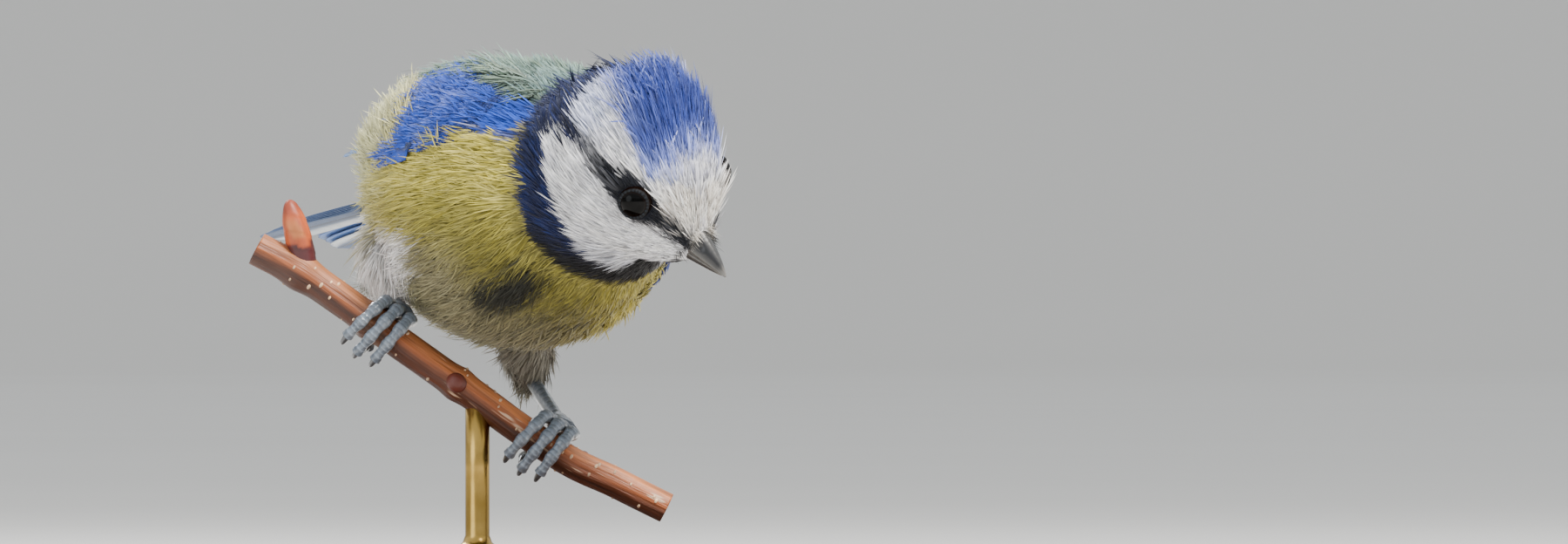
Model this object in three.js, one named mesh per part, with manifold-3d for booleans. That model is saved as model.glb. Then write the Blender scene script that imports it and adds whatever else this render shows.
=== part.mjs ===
// A blue tit gripping a cut length of twig, life size, held up by a plain display stand.
// Millimetres, +Z up. The origin is the centre of the stand's underside.
// The viewer of the pose stands at -Y: the bird comes towards them and looks down to its left, at +X.

import * as THREE from "three";
import { mergeVertices } from "three/addons/utils/BufferGeometryUtils.js";
import Module from "manifold-3d";

const wasm = await Module();
wasm.setup();

const GAP = 0.3; // clear space kept between two touching pieces
const FINE = 0.02; // slivers smaller than this are let go
const DEG = Math.PI / 180;

// Driving sizes of the pose: where the trunk and the head are, and how they turn.
const TRUNK_AT = new THREE.Vector3(3.5, 5, 48.6);
const TRUNK_TURN = { heading: -65.5, pitch: 0, roll: -30 };
const HEAD_AT = new THREE.Vector3(17.2, -17.5, 52.4);
const HEAD_TURN = { heading: -32, pitch: -38, roll: 18 };

// Frames: x runs forwards, y to the bird's left and z up its back.
function frame(at, { heading, pitch, roll }) {
  const turn = new THREE.Euler(roll * DEG, -pitch * DEG, heading * DEG, "ZYX");
  return new THREE.Matrix4().makeRotationFromEuler(turn).setPosition(at);
}
const TRUNK = frame(TRUNK_AT, TRUNK_TURN);
const HEAD = frame(HEAD_AT, HEAD_TURN);

// Trunk stations from the breast to the rump: place along it, height of the middle, half width,
// rise and drop.
const TRUNK_ROWS = [
  [24.5, 0.5, 5.0, 5.5, 4.6],
  [22.0, 0.4, 9.3, 9.6, 8.9],
  [17.0, 0.2, 13.4, 13.4, 13.0],
  [9.0, 0.0, 16.5, 16.0, 16.1],
  [0.0, 0.0, 17.2, 16.3, 17.0],
  [-8.0, 0.2, 15.8, 14.7, 15.8],
  [-15.0, 0.9, 12.9, 11.5, 12.6],
  [-21.0, 1.8, 9.7, 8.1, 8.6],
  [-26.0, 2.4, 7.0, 5.2, 5.4],
  [-29.5, 2.6, 4.6, 3.2, 3.8],
];

// Head stations from the face to the nape, in the same order.
const HEAD_ROWS = [
  [12.4, -2.7, 1.9, 1.8, 1.7],
  [11.2, -2.5, 3.3, 3.6, 2.9],
  [9.4, -1.9, 5.4, 6.6, 4.7],
  [6.6, -1.1, 7.9, 9.1, 6.9],
  [3.0, -0.4, 9.8, 10.4, 8.8],
  [-1.0, 0.0, 10.6, 10.9, 10.0],
  [-5.0, 0.0, 10.3, 10.4, 10.2],
  [-8.6, 0.0, 8.4, 8.6, 8.6],
  [-11.2, 0.0, 4.8, 5.0, 5.0],
];

const EYE = {
  at: [5.6, 6.7, 1.9],
  way: [0.45, 0.85, 0.28],
  r: 2.0,
  lidRing: 1.72,
  lidTube: 0.4,
  lidOut: 1.12,
};
const BILL = { base: 10.9, tip: 16.6, level: -2.4, halfWidth: 2.05, rise: 2.35, drop: 1.75, fall: 0.45 };
const CREST = { rows: 4, perRow: 5, front: 6.6, step: 2.45, length: 5.2, width: 2.6, thick: 0.55 };

// Tail: where it starts and ends behind the trunk's middle, and how it hangs, swings and turns back to level.
const TAIL = {
  start: -27.6,
  tip: -67.5,
  width: 4.4,
  thick: 0.55,
  step: 0.32,
  droop: 0.08,
  sway: 0.08,
  untwist: 0.4,
};

// Twig: bends of its middle line, read off the pose, and its thickness.
const TWIG = {
  bends: [
    [-26.5, 0.4, 43.4],
    [-21.5, 0.2, 40.7],
    [-16.0, 0, 36.9],
    [-9.4, 0, 32.0],
    [-2.8, 0, 27.4],
    [5.8, 0, 21.3],
    [10.0, 0, 18.7],
    [14.5, 0, 16.6],
    [20.5, 0.3, 13.6],
  ],
  thick: 3.9,
  thin: 3.5,
};

const BASE = { r: 38, h: 8, edge: 1.2 };
const ROD = { at: [-1.2, 0], r: 1.4, reach: 34 };

const MATERIALS = {
  plumageYellow: new THREE.MeshStandardMaterial({ color: "#c9b848", roughness: 0.9, metalness: 0 }),
  plumageBlue: new THREE.MeshStandardMaterial({ color: "#3f63b8", roughness: 0.85, metalness: 0 }),
  plumageWhite: new THREE.MeshStandardMaterial({ color: "#dcdce4", roughness: 0.9, metalness: 0 }),
  collar: new THREE.MeshStandardMaterial({ color: "#161c38", roughness: 0.85, metalness: 0 }),
  flightBlue: new THREE.MeshStandardMaterial({ color: "#4a6f9c", roughness: 0.7, metalness: 0 }),
  horn: new THREE.MeshStandardMaterial({ color: "#2b2a2e", roughness: 0.35, metalness: 0 }),
  eye: new THREE.MeshStandardMaterial({ color: "#0b0807", roughness: 0.05, metalness: 0 }),
  leg: new THREE.MeshStandardMaterial({ color: "#5b6a7c", roughness: 0.5, metalness: 0 }),
  bark: new THREE.MeshStandardMaterial({ color: "#9a4f28", roughness: 0.6, metalness: 0 }),
  rod: new THREE.MeshStandardMaterial({ color: "#b08d4f", roughness: 0.3, metalness: 1 }),
  base: new THREE.MeshStandardMaterial({ color: "#3c2a1e", roughness: 0.45, metalness: 0 }),
};

// Solids

// A closed geometry, moved by a matrix, as a solid.
function solid(geometry, matrix) {
  const plain = new THREE.BufferGeometry().setAttribute("position", geometry.getAttribute("position"));
  if (geometry.index) plain.setIndex(geometry.index);
  const moved = plain.clone();
  if (matrix) moved.applyMatrix4(matrix);
  const merged = mergeVertices(moved, 1e-4);
  return new wasm.Manifold(
    new wasm.Mesh({
      numProp: 3,
      vertProperties: new Float32Array(merged.attributes.position.array),
      triVerts: new Uint32Array(merged.index.array),
    }),
  );
}

// The largest closed surface of a solid.
function largest(body) {
  const pieces = body.decompose();
  return pieces.reduce((a, b) => (b.volume() > a.volume() ? b : a));
}

// A closed skin through rings of equal count, with a pole in the middle of the first and the last ring.
function skinOf(rings) {
  const count = rings[0].length;
  const points = rings.flat();
  const middle = (ring) => ring.reduce((sum, p) => sum.add(p), new THREE.Vector3()).divideScalar(count);
  const first = points.push(middle(rings[0])) - 1;
  const last = points.push(middle(rings[rings.length - 1])) - 1;
  const faces = [];
  for (let i = 0; i + 1 < rings.length; i++)
    for (let j = 0; j < count; j++) {
      const a = i * count + j;
      const b = i * count + ((j + 1) % count);
      faces.push(a, b, a + count, b, b + count, a + count);
    }
  const end = (rings.length - 1) * count;
  for (let j = 0; j < count; j++) {
    const k = (j + 1) % count;
    faces.push(first, k, j, last, end + j, end + k);
  }
  const geometry = new THREE.BufferGeometry().setFromPoints(points);
  geometry.setIndex(faces);
  return geometry;
}

// A solid of rings, turned to face outwards whichever way the rings run.
function ringSolid(rings, matrix) {
  const made = solid(skinOf(rings), matrix);
  return made.volume() > 0 ? made : solid(skinOf(rings.map((ring) => [...ring].reverse())), matrix);
}

// Row values at a place between the rows, on a smooth curve through them.
function rowAt(rows, t) {
  const k = Math.min(rows.length - 2, Math.max(0, Math.floor(t)));
  const s = t - k;
  const [a, b, c, d] = [k - 1, k, k + 1, k + 2].map((i) => rows[Math.min(rows.length - 1, Math.max(0, i))]);
  return b.map((_, i) => {
    const out = (c[i] - a[i]) / 2;
    const into = (d[i] - b[i]) / 2;
    const rest = c[i] - b[i];
    return b[i] + s * out + s * s * (3 * rest - 2 * out - into) + s * s * s * (out + into - 2 * rest);
  });
}

// Row values at a distance along the body.
function rowFor(rows, x) {
  let low = 0;
  while (low < rows.length - 2 && rows[low + 1][0] > x) low++;
  return rowAt(rows, low + (rows[low][0] - x) / (rows[low][0] - rows[low + 1][0]));
}

// A point of a body of stations, at a place along the rows and an angle up from its left side.
function stationPoint(row, angle, grow = 0) {
  const [x, level, half, rise, drop] = row;
  const up = Math.sin(angle);
  const reach = up > 0 ? rise + grow : drop + grow;
  return new THREE.Vector3(x, (half + grow) * Math.cos(angle), level + reach * up);
}

function stationBody(rows, steps, sides, matrix, grow = 0) {
  const rings = [];
  for (let i = 0; i <= steps; i++) {
    const row = rowAt(rows, ((rows.length - 1) * i) / steps);
    const ring = [];
    for (let j = 0; j < sides; j++) ring.push(stationPoint(row, (2 * Math.PI * j) / sides, grow));
    rings.push(ring);
  }
  for (const p of rings[0]) p.x += grow;
  for (const p of rings[steps]) p.x -= grow;
  return ringSolid(rings, matrix);
}

// A tube of round or oval section along a smooth curve; size gives its two half thicknesses
// from 0 to 1 along it.
function tube(points, steps, sides, size, flatAxis) {
  const curve = new THREE.CatmullRomCurve3(points, false, "centripetal");
  const rings = [];
  let across = flatAxis ? flatAxis.clone() : null;
  for (let i = 0; i <= steps; i++) {
    const u = i / steps;
    const at = curve.getPointAt(u);
    const along = curve.getTangentAt(u);
    if (!across) across = new THREE.Vector3(0, 0, 1).cross(along).normalize();
    across = across.sub(along.clone().multiplyScalar(across.dot(along))).normalize();
    const over = along.clone().cross(across);
    const [a, b] = size(u);
    const ring = [];
    for (let j = 0; j < sides; j++) {
      const angle = (2 * Math.PI * j) / sides;
      const p = at.clone().addScaledVector(across, a * Math.cos(angle));
      ring.push(p.addScaledVector(over, b * Math.sin(angle)));
    }
    rings.push(ring);
    across = across.clone();
  }
  return ringSolid(rings);
}

// A flat feather: left and right edge lines with one thickness, split alike on both faces.
// line(u) gives its middle, across(u) the way to its left edge, and over(u) its outward side.
function vane({ line, across, over, width, thick, steps }) {
  const rings = [];
  for (let i = 0; i <= steps; i++) {
    const u = i / steps;
    const at = line(u);
    const half = across(u).multiplyScalar(width(u) / 2);
    const lift = over(u).multiplyScalar(thick(u) / 2);
    rings.push([
      at.clone().add(half).add(lift),
      at.clone().add(half).sub(lift),
      at.clone().sub(half).sub(lift),
      at.clone().sub(half).add(lift),
    ]);
  }
  const points = rings.flat();
  const index = [];
  for (let i = 0; i < steps; i++) {
    const a = i * 4;
    const b = a + 4;
    index.push(a + 3, a, b, a + 3, b, b + 3); // upper face
    index.push(a + 2, b + 1, a + 1, a + 2, b + 2, b + 1); // lower face
    index.push(a, a + 1, b + 1, a, b + 1, b); // left edge
    index.push(a + 2, a + 3, b + 3, a + 2, b + 3, b + 2); // right edge
  }
  const e = steps * 4;
  index.push(0, 3, 2, 0, 2, 1);
  index.push(e, e + 1, e + 2, e, e + 2, e + 3);
  const geometry = new THREE.BufferGeometry().setFromPoints(points);
  geometry.setIndex(index);
  const made = solid(geometry);
  if (made.volume() > 0) return made;
  for (let i = 0; i < index.length; i += 3) [index[i + 1], index[i + 2]] = [index[i + 2], index[i + 1]];
  geometry.setIndex(index);
  return solid(geometry);
}

const group = new THREE.Group();
function keep(name, body, material) {
  const made = largest(body.simplify(FINE)).getMesh();
  const geometry = new THREE.BufferGeometry();
  geometry.setAttribute("position", new THREE.BufferAttribute(new Float32Array(made.vertProperties), 3));
  geometry.setIndex(new THREE.BufferAttribute(new Uint32Array(made.triVerts), 1));
  geometry.computeVertexNormals();
  const mesh = new THREE.Mesh(geometry, material);
  mesh.name = name;
  group.add(mesh);
}

const place = (matrix, x, y, z) => new THREE.Vector3(x, y, z).applyMatrix4(matrix);
const side = (matrix, x, y, z) => new THREE.Vector3(x, y, z).transformDirection(matrix);

// Trunk, neck and head are one form, parted by thin cuts.
const trunkBody = stationBody(TRUNK_ROWS, 18, 24, TRUNK);
const headBody = stationBody(HEAD_ROWS, 14, 22, HEAD);

// A straight oval neck from deep in the trunk to the middle of the head.
const neckFrom = place(TRUNK, 9, 0, 1);
const neckTo = place(HEAD, 0.5, 0, 0);
const neckBody = tube([neckFrom, neckFrom.clone().lerp(neckTo, 0.5), neckTo], 4, 20,
  (u) => [15.4 - 4.9 * u, 15.0 - 4.6 * u], side(TRUNK, 0, 1, 0));

// Everything on the far side of a plane, as a large block.
function beyond(at, way) {
  const size = 200;
  const block = new THREE.BoxGeometry(size, size, size);
  const turn = new THREE.Quaternion().setFromUnitVectors(new THREE.Vector3(0, 0, 1), way);
  const middle = at.clone().addScaledVector(way, size / 2);
  return solid(block, new THREE.Matrix4().compose(middle, turn, new THREE.Vector3(1, 1, 1)));
}

// Both cuts face the same way, at these distances behind the middle of the head.
const NECK_CUT = { way: [0.45, -0.75, 0.5], head: 8.6, trunk: 12.8 };
const cutWay = new THREE.Vector3(...NECK_CUT.way).normalize();
const cutAt = (behind) => HEAD_AT.clone().addScaledVector(cutWay, -behind);
const flesh = trunkBody.add(neckBody).add(headBody);
const trunkPart = flesh.subtract(beyond(cutAt(NECK_CUT.trunk), cutWay));
const neckPart = flesh
  .intersect(beyond(cutAt(NECK_CUT.trunk - GAP), cutWay))
  .subtract(beyond(cutAt(NECK_CUT.head + GAP), cutWay));
const headPart = flesh.intersect(beyond(cutAt(NECK_CUT.head), cutWay));
const grownTrunk = stationBody(TRUNK_ROWS, 18, 24, TRUNK, GAP);

// Head: eyes in sockets, lids, the bill's seat and the crest.

// A point on the head's surface, or lifted off it, at a place along it and an angle up from its left side.
const headPoint = (x, angle, lift) => stationPoint(rowFor(HEAD_ROWS, x), angle, lift).applyMatrix4(HEAD);

function ball(at, r, rings) {
  return solid(new THREE.SphereGeometry(r, rings * 2, rings), new THREE.Matrix4().setPosition(at));
}

function eyeFrame(hand) {
  const [x, y, z] = EYE.at;
  const out = side(HEAD, EYE.way[0], EYE.way[1] * hand, EYE.way[2]);
  const turn = new THREE.Quaternion().setFromUnitVectors(new THREE.Vector3(0, 0, 1), out);
  return { at: place(HEAD, x, y * hand, z), out, turn };
}

function lid(hand) {
  const { at, out, turn } = eyeFrame(hand);
  const ring = new THREE.TorusGeometry(EYE.lidRing, EYE.lidTube, 6, 16);
  const middle = at.clone().addScaledVector(out, EYE.lidOut);
  return solid(ring, new THREE.Matrix4().compose(middle, turn, new THREE.Vector3(1, 1, 1)));
}

// A crest feather: a short tapered blade that lies back along the crown and lifts at its tip.
function crestFeather(x, spread, seed) {
  const rear = (CREST.front - x) / (CREST.step * (CREST.rows - 1)); // 0 at the forehead, 1 in the last row
  const length = CREST.length * (0.8 + 0.1 * rear) * (0.9 + 0.2 * seed);
  const from = Math.PI / 2 - spread;
  const lift = (u) => -0.5 + u * (1.3 + 1.6 * rear * u);
  const line = (u) => headPoint(x - length * u, from + 0.12 * spread * u, lift(u));
  const over = (u) => line(u).sub(headPoint(x - length * u, from, -4)).normalize();
  return vane({
    line,
    over,
    across: (u) => over(u).cross(line(u + 0.05).sub(line(u)).normalize()).normalize(),
    width: (u) => CREST.width * (0.75 + 0.5 * u - 1.05 * u * u * u),
    thick: (u) => CREST.thick * (1.15 - 0.55 * u),
    steps: 3,
  });
}

let head = headPart.add(lid(1)).add(lid(-1));
for (let row = 0; row < CREST.rows; row++)
  for (let k = 0; k < CREST.perRow; k++) {
    const across = (k + (row % 2) * 0.5 - (CREST.perRow - 0.5) / 2) / CREST.perRow;
    const seed = ((row * 7 + k * 5) % 9) / 9;
    head = head.add(crestFeather(CREST.front - CREST.step * row + 0.5 * seed, across * 1.5, seed));
  }

// A bill half: half an oval cone from its base to its tip, above or below the line of the mouth.
function billHalf(upper, grow = 0) {
  const steps = 7;
  const sides = 8;
  const rings = [];
  for (let i = 0; i <= steps; i++) {
    const u = i / steps;
    const reach = upper ? BILL.tip : BILL.tip - 0.5;
    const x = BILL.base - (i === 0 ? grow : 0) + (reach - BILL.base) * u + (i === steps ? grow : 0);
    const taper = Math.pow(1 - u, 0.85);
    const half = grow + 0.16 + (BILL.halfWidth - 0.16) * taper;
    const mouth = BILL.level - BILL.fall * u * u * (upper ? 1 : 0.8);
    const high = 2 * grow + 0.2 + ((upper ? BILL.rise : BILL.drop) - 0.2) * Math.pow(1 - u, 0.75);
    const ring = [];
    for (let j = 0; j <= sides; j++) {
      const angle = (Math.PI * j) / sides;
      const z = mouth + (upper ? GAP / 2 - grow : grow - GAP / 2) + (upper ? high : -high) * Math.sin(angle);
      ring.push(place(HEAD, x, half * Math.cos(angle), z));
    }
    rings.push(ring);
  }
  return ringSolid(rings);
}

const nostril = (hand) => ball(place(HEAD, BILL.base + 2.3, 1.45 * hand, BILL.level + 1.35), 0.38, 5);
const eyeSocket = (hand) => ball(eyeFrame(hand).at, EYE.r + GAP, 8);
head = head
  .subtract(eyeSocket(1))
  .subtract(eyeSocket(-1))
  .subtract(billHalf(true, GAP))
  .subtract(billHalf(false, GAP));

keep("bill_upper", billHalf(true).subtract(nostril(1)).subtract(nostril(-1)), MATERIALS.horn);
keep("bill_lower", billHalf(false), MATERIALS.horn);
keep("eye_left", ball(eyeFrame(1).at, EYE.r, 7), MATERIALS.eye);
keep("eye_right", ball(eyeFrame(-1).at, EYE.r, 7), MATERIALS.eye);

// Tail: twelve feathers and their coverts on a root block behind the rump.
// A point of the tail, whose frame turns back towards level just behind the rump.
function tailTurn(x, y, z) {
  const behind = TAIL.start - x;
  const turn = TAIL.untwist * Math.min(1, Math.max(0, (3 * behind) / (TAIL.start - TAIL.tip)));
  const across = y * Math.cos(turn) - z * Math.sin(turn) + TAIL.sway * behind;
  const high = 2.4 + y * Math.sin(turn) + z * Math.cos(turn) - TAIL.droop * behind;
  return place(TRUNK, x, across, high);
}

function tailFeather({ offset, fan, level, start, tip, width, roll }) {
  const line = (u) => {
    const x = start + (tip - start) * u;
    return tailTurn(x, offset + fan * u, level - 0.1 * Math.abs(offset + fan * u));
  };
  const over = (u) => {
    const x = start + (tip - start) * u;
    return tailTurn(x, offset, level + 1).sub(tailTurn(x, offset, level)).normalize();
  };
  return vane({
    line,
    over,
    across: (u) => {
      const along = line(u + 0.02).sub(line(u - 0.02)).normalize();
      return over(u).cross(along).normalize().applyAxisAngle(along, roll);
    },
    width: (u) => width * (0.62 + 0.75 * u - 0.12 * u * u - 0.85 * Math.pow(u, 9)),
    thick: () => TAIL.thick,
    steps: start - tip > 25 ? 4 : 3,
  });
}

function tail() {
  const rows = [
    [-26.4, 2.45, 6.7, 5.1, 6.7],
    [-30.0, 2.1, 5.4, 3.6, 5.0],
    [-34.5, 1.6, 4.0, 2.0, 3.0],
    [-39.0, 1.0, 2.4, 0.8, 1.4],
  ];
  let made = stationBody(rows, 7, 14, TRUNK);
  for (let i = 5; i >= 0; i--)
    for (const hand of [1, -1]) {
      made = made.add(tailFeather({
        offset: hand * (0.5 + 0.42 * i),
        fan: hand * (0.35 + 0.34 * i),
        level: -TAIL.step * i - (hand < 0 ? 0.12 : 0),
        start: TAIL.start - 2,
        tip: TAIL.tip - (i > 3 ? 0.6 : 1.4) + 0.175 * (5 - i),
        width: TAIL.width,
        roll: -hand * 0.05 * i,
      }));
    }
  for (let i = 0; i < 5; i++) {
    const across = (i - 2) / 2;
    const start = TAIL.start - 1.2;
    const offset = 3.0 * across;
    made = made.add(tailFeather({
      offset,
      fan: -0.9 * across,
      level: 1.3 - 1.2 * across * across,
      start,
      tip: -42.5 + 2.6 * Math.abs(across),
      width: 3.2,
      roll: -0.3 * across,
    }));
    made = made.add(tailFeather({
      offset,
      fan: -1.0 * across,
      level: -3.3 + 1.2 * across * across,
      start,
      tip: -45.5 + 3.2 * Math.abs(across),
      width: 3.4,
      roll: 0.3 * across,
    }));
  }
  return made;
}

// Wings: the surface that a folded wing lies on, and tiers of feathers laid over it.
const WING_ROWS = [
  [17.0, 0.2, 13.4, 13.4, 13.0],
  [9.0, 0.0, 16.5, 16.0, 16.1],
  [0.0, 0.0, 17.2, 16.3, 17.0],
  [-8.0, 0.2, 15.9, 14.8, 15.8],
  [-16.0, 0.9, 13.3, 11.6, 12.6],
  [-24.0, 1.9, 11.0, 8.8, 9.4],
  [-32.0, 2.6, 8.8, 7.2, 7.0],
  [-40.0, 2.6, 6.8, 5.6, 4.6],
  [-50.0, 2.2, 4.8, 4.4, 3.6],
];

// Angles run up from the side of the body, on the right for a hand of -1 and on the left for 1.
function wingPoint(hand, x, angle, lift) {
  const p = stationPoint(rowFor(WING_ROWS, x), angle * DEG, lift);
  return new THREE.Vector3(p.x, p.y * hand, p.z).applyMatrix4(TRUNK);
}

function wingFeather(hand, { x0, a0, x1, a1, width, lift, rise, blunt }) {
  const line = (u) => wingPoint(hand, x0 + (x1 - x0) * u, a0 + (a1 - a0) * u, lift + rise * u);
  const under = (u) => wingPoint(hand, x0 + (x1 - x0) * u, a0 + (a1 - a0) * u, lift + rise * u - 2);
  const over = (u) => line(u).sub(under(u)).normalize();
  return vane({
    line,
    over,
    across: (u) => over(u).cross(line(u + 0.03).sub(line(u - 0.03)).normalize()).normalize(),
    width: (u) => width * (0.6 + 0.9 * u - 0.45 * u * u - (blunt ? 0.5 : 0.8) * Math.pow(u, 6)),
    thick: () => 0.55,
    steps: x0 - x1 > 28 ? 4 : x0 - x1 > 12 ? 3 : 2,
  });
}

// Tiers from the body outwards: how many feathers, where the roots and tips run from the first to the last.
const TIERS = [
  {
    count: 5, x0: [-8, -4], a0: [2, 2],
    x1: [-46, -34], a1: [24, 2],
    width: [3.6, 4.0], lift: [-0.8, -0.55], rise: 0.2,
  },
  {
    count: 5, x0: [-4, -5], a0: [-2, 26],
    x1: [-27, -22], a1: [0, 24],
    width: [4.8, 5.2], lift: [-0.5, -0.2], rise: 0.1,
  },
  {
    count: 3, x0: [-5, -7], a0: [28, 40],
    x1: [-24, -18], a1: [26, 42],
    width: [5.2, 5.2], lift: [-0.1, 0.1], rise: 0.1,
  },
  {
    count: 5, x0: [0, -3], a0: [-11, 37],
    x1: [-8, -9], a1: [-11, 35],
    width: [5, 5.2], lift: [-0.1, 0.1], rise: 0.1, blunt: 1,
  },
  {
    count: 4, x0: [5, 2], a0: [-8, 38],
    x1: [0, -3], a1: [-8, 37],
    width: [5.6, 5.8], lift: [0.2, 0.4], rise: 0.1, blunt: 1,
  },
];

// The shallow bed in the trunk's side that the wing lies in, between two heights over the wing's surface.
function wingBed(hand, low, high, margin) {
  const rings = [];
  const steps = 9;
  for (let i = 0; i <= steps; i++) {
    const u = i / steps;
    const x = 14.2 + margin - (64 + 2 * margin) * u;
    const full = Math.pow(Math.sin(Math.PI * Math.min(1, 0.08 + u * 1.4) * 0.5), 0.7);
    const spread = (margin / 12) / DEG;
    const from = 8 - 31 * full + 8 * u - spread;
    const to = 24 + 30 * full - 4 * u + spread;
    const ring = [];
    for (let j = 0; j <= 4; j++) ring.push(wingPoint(hand, x, from + ((to - from) * j) / 4, high));
    for (let j = 4; j >= 0; j--) ring.push(wingPoint(hand, x, from + ((to - from) * j) / 4, low));
    rings.push(ring);
  }
  return ringSolid(rings);
}

// The arm under the feathers, from the bend of the wing backwards.
function wingPad(hand) {
  const rings = [];
  const steps = 7;
  for (let i = 0; i <= steps; i++) {
    const u = i / steps;
    const x = 13.2 - 34 * u;
    const full = Math.sqrt(Math.max(0.03, Math.sin(Math.PI * Math.min(1, 0.06 + u * 0.9))));
    const from = 16 - 32 * full + 6 * u;
    const to = 22 + 28 * full - 4 * u;
    const ring = [];
    for (let j = 0; j <= 4; j++) {
      const bulge = (0.4 + 1.0 * Math.exp(-((u / 0.3) ** 2))) * full * Math.sin(0.5 + (Math.PI - 1) * (j / 4));
      ring.push(wingPoint(hand, x, from + ((to - from) * j) / 4, bulge - 0.9));
    }
    for (let j = 4; j >= 0; j--) ring.push(wingPoint(hand, x, from + ((to - from) * j) / 4, -1.35));
    rings.push(ring);
  }
  return ringSolid(rings);
}

function wing(hand) {
  let made = wingPad(hand);
  for (const tier of TIERS)
    for (let k = 0; k < tier.count; k++) {
      const mix = ([a, b]) => a + ((b - a) * k) / (tier.count - 1);
      const f = { rise: tier.rise, blunt: tier.blunt };
      for (const key of ["x0", "a0", "x1", "a1", "width", "lift"]) f[key] = mix(tier[key]);
      made = made.add(wingFeather(hand, f));
    }
  return made.intersect(wingBed(hand, -1.35, 4, 0));
}

const rump = beyond(place(TRUNK, -26.3, 0, 0), side(TRUNK, -1, 0, 0));
const beds = wingBed(1, -1.85, 5, GAP).add(wingBed(-1, -1.85, 5, GAP));
keep("head", head.subtract(beds), MATERIALS.plumageWhite);
keep("trunk", trunkPart.subtract(rump).subtract(beds), MATERIALS.plumageYellow);
keep("neck", neckPart.subtract(beds), MATERIALS.collar);
const behindRump = beyond(place(TRUNK, -26.3 - GAP, 0, 0), side(TRUNK, -1, 0, 0));
keep("tail", tail().intersect(behindRump), MATERIALS.flightBlue);
keep("wing_left", wing(1), MATERIALS.flightBlue);
keep("wing_right", wing(-1), MATERIALS.flightBlue);

// Twig with its bud and leaf scars.
const twigBends = TWIG.bends.map((p) => new THREE.Vector3(...p));
const twigCurve = new THREE.CatmullRomCurve3(twigBends, false, "centripetal");
const twigR = (u) => (TWIG.thick + (TWIG.thin - TWIG.thick) * u) / 2;
const TWIG_NODES = [
  { u: 0.28, swell: 0.32, wide: 0.022 },
  { u: 0.5, swell: 0.22, wide: 0.02 },
  { u: 0.1, swell: 0.35, wide: 0.03 },
];
function twigSize(u) {
  const swell = TWIG_NODES.reduce((sum, n) => sum + n.swell * Math.exp(-(((u - n.u) / n.wide) ** 2)), 0);
  return twigR(u) + swell;
}
const depthAxis = new THREE.Vector3(0, 1, 0);
const round = (r) => [r, r];
const twigTube = (grow) => tube(twigCurve.points, 34, 11, (u) => round(twigSize(u) + grow), depthAxis);

// A bud on the twig: a short plump cone that leaves it along a way.
function bud(u, way, length, r) {
  const at = twigCurve.getPointAt(u);
  const dir = new THREE.Vector3(...way).normalize();
  const points = [0, 0.5, 1].map((k) => at.clone().addScaledVector(dir, twigR(u) - 0.8 + (length + 0.8) * k));
  return tube(points, 6, 8, (k) => round(r * Math.pow(1 - k, 0.6) * (0.75 + k) + 0.18));
}

const twig = twigTube(0)
  .add(bud(0.5, [-0.1, -1, 0.1], 0.9, 1.2))
  .add(bud(0.12, [-0.24, -0.1, 0.97], 7.2, 1.7))
  .add(bud(0.8, [0.2, 0.9, 0.4], 1.1, 0.9));
keep("perch", twig, MATERIALS.bark);

// Legs

// The twig's own frame at a share of its length: its way, the way up across it and the way to the viewer.
function gripFrame(u) {
  const at = twigCurve.getPointAt(u);
  const along = twigCurve.getTangentAt(u);
  const near = new THREE.Vector3(0, -1, 0);
  const up = near.clone().cross(along).normalize();
  return { at, along, near, up };
}
function gripPoint(grip, degrees, off, shift) {
  const a = degrees * DEG;
  const r = TWIG.thick / 2 + off;
  return grip.at.clone()
    .addScaledVector(grip.along, shift)
    .addScaledVector(grip.near, r * Math.cos(a))
    .addScaledVector(grip.up, r * Math.sin(a));
}

// Each toe's way round the twig: angle from the viewer's side over the top, height off the bark
// and place along.
const TOE = { r: 0.62, claw: 0.42 };
const TOES = {
  2: {
    root: 106,
    shift: [-1.62, -2.0],
    bend: [[70, 1.0], [32, 1.02], [-4, 1.15], [-38, 1.8]],
    claw: [[-47, 1.95], [-68, 2.2], [-90, 1.7]],
  },
  3: {
    root: 104,
    shift: [0, 0],
    bend: [[70, 1.06], [32, 1.08], [-8, 1.25], [-50, 2.2]],
    claw: [[-57, 2.3], [-77, 2.5], [-98, 1.9]],
  },
  4: {
    root: 106,
    shift: [1.62, 2.1],
    bend: [[70, 1.0], [32, 1.02], [-6, 1.15], [-44, 1.8]],
    claw: [[-52, 1.95], [-73, 2.2], [-95, 1.7]],
  },
  1: {
    root: 152,
    shift: [0.1, 0.5],
    bend: [[176, 1.08], [200, 1.05], [226, 1.03]],
    claw: [[236, 1.0], [262, 1.25], [288, 0.95]],
  },
};

// Legs: place along the twig, heel and knee, palm off the middle, lean of the toes, and the thigh's fullness.
const LEGS = {
  right: {
    u: 0.312,
    heel: [-12.6, 17.2, 40.6],
    knee: [-9.0, 4.5, 44.0],
    palm: 0.4,
    lean: -0.6,
    hand: 1,
    full: 1,
  },
  left: {
    u: 0.722,
    heel: [4.4, 16.8, 28.9],
    knee: [4.2, 5.5, 36.5],
    palm: 0.5,
    lean: -0.6,
    hand: -1,
    full: 0.78,
  },
};

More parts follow.
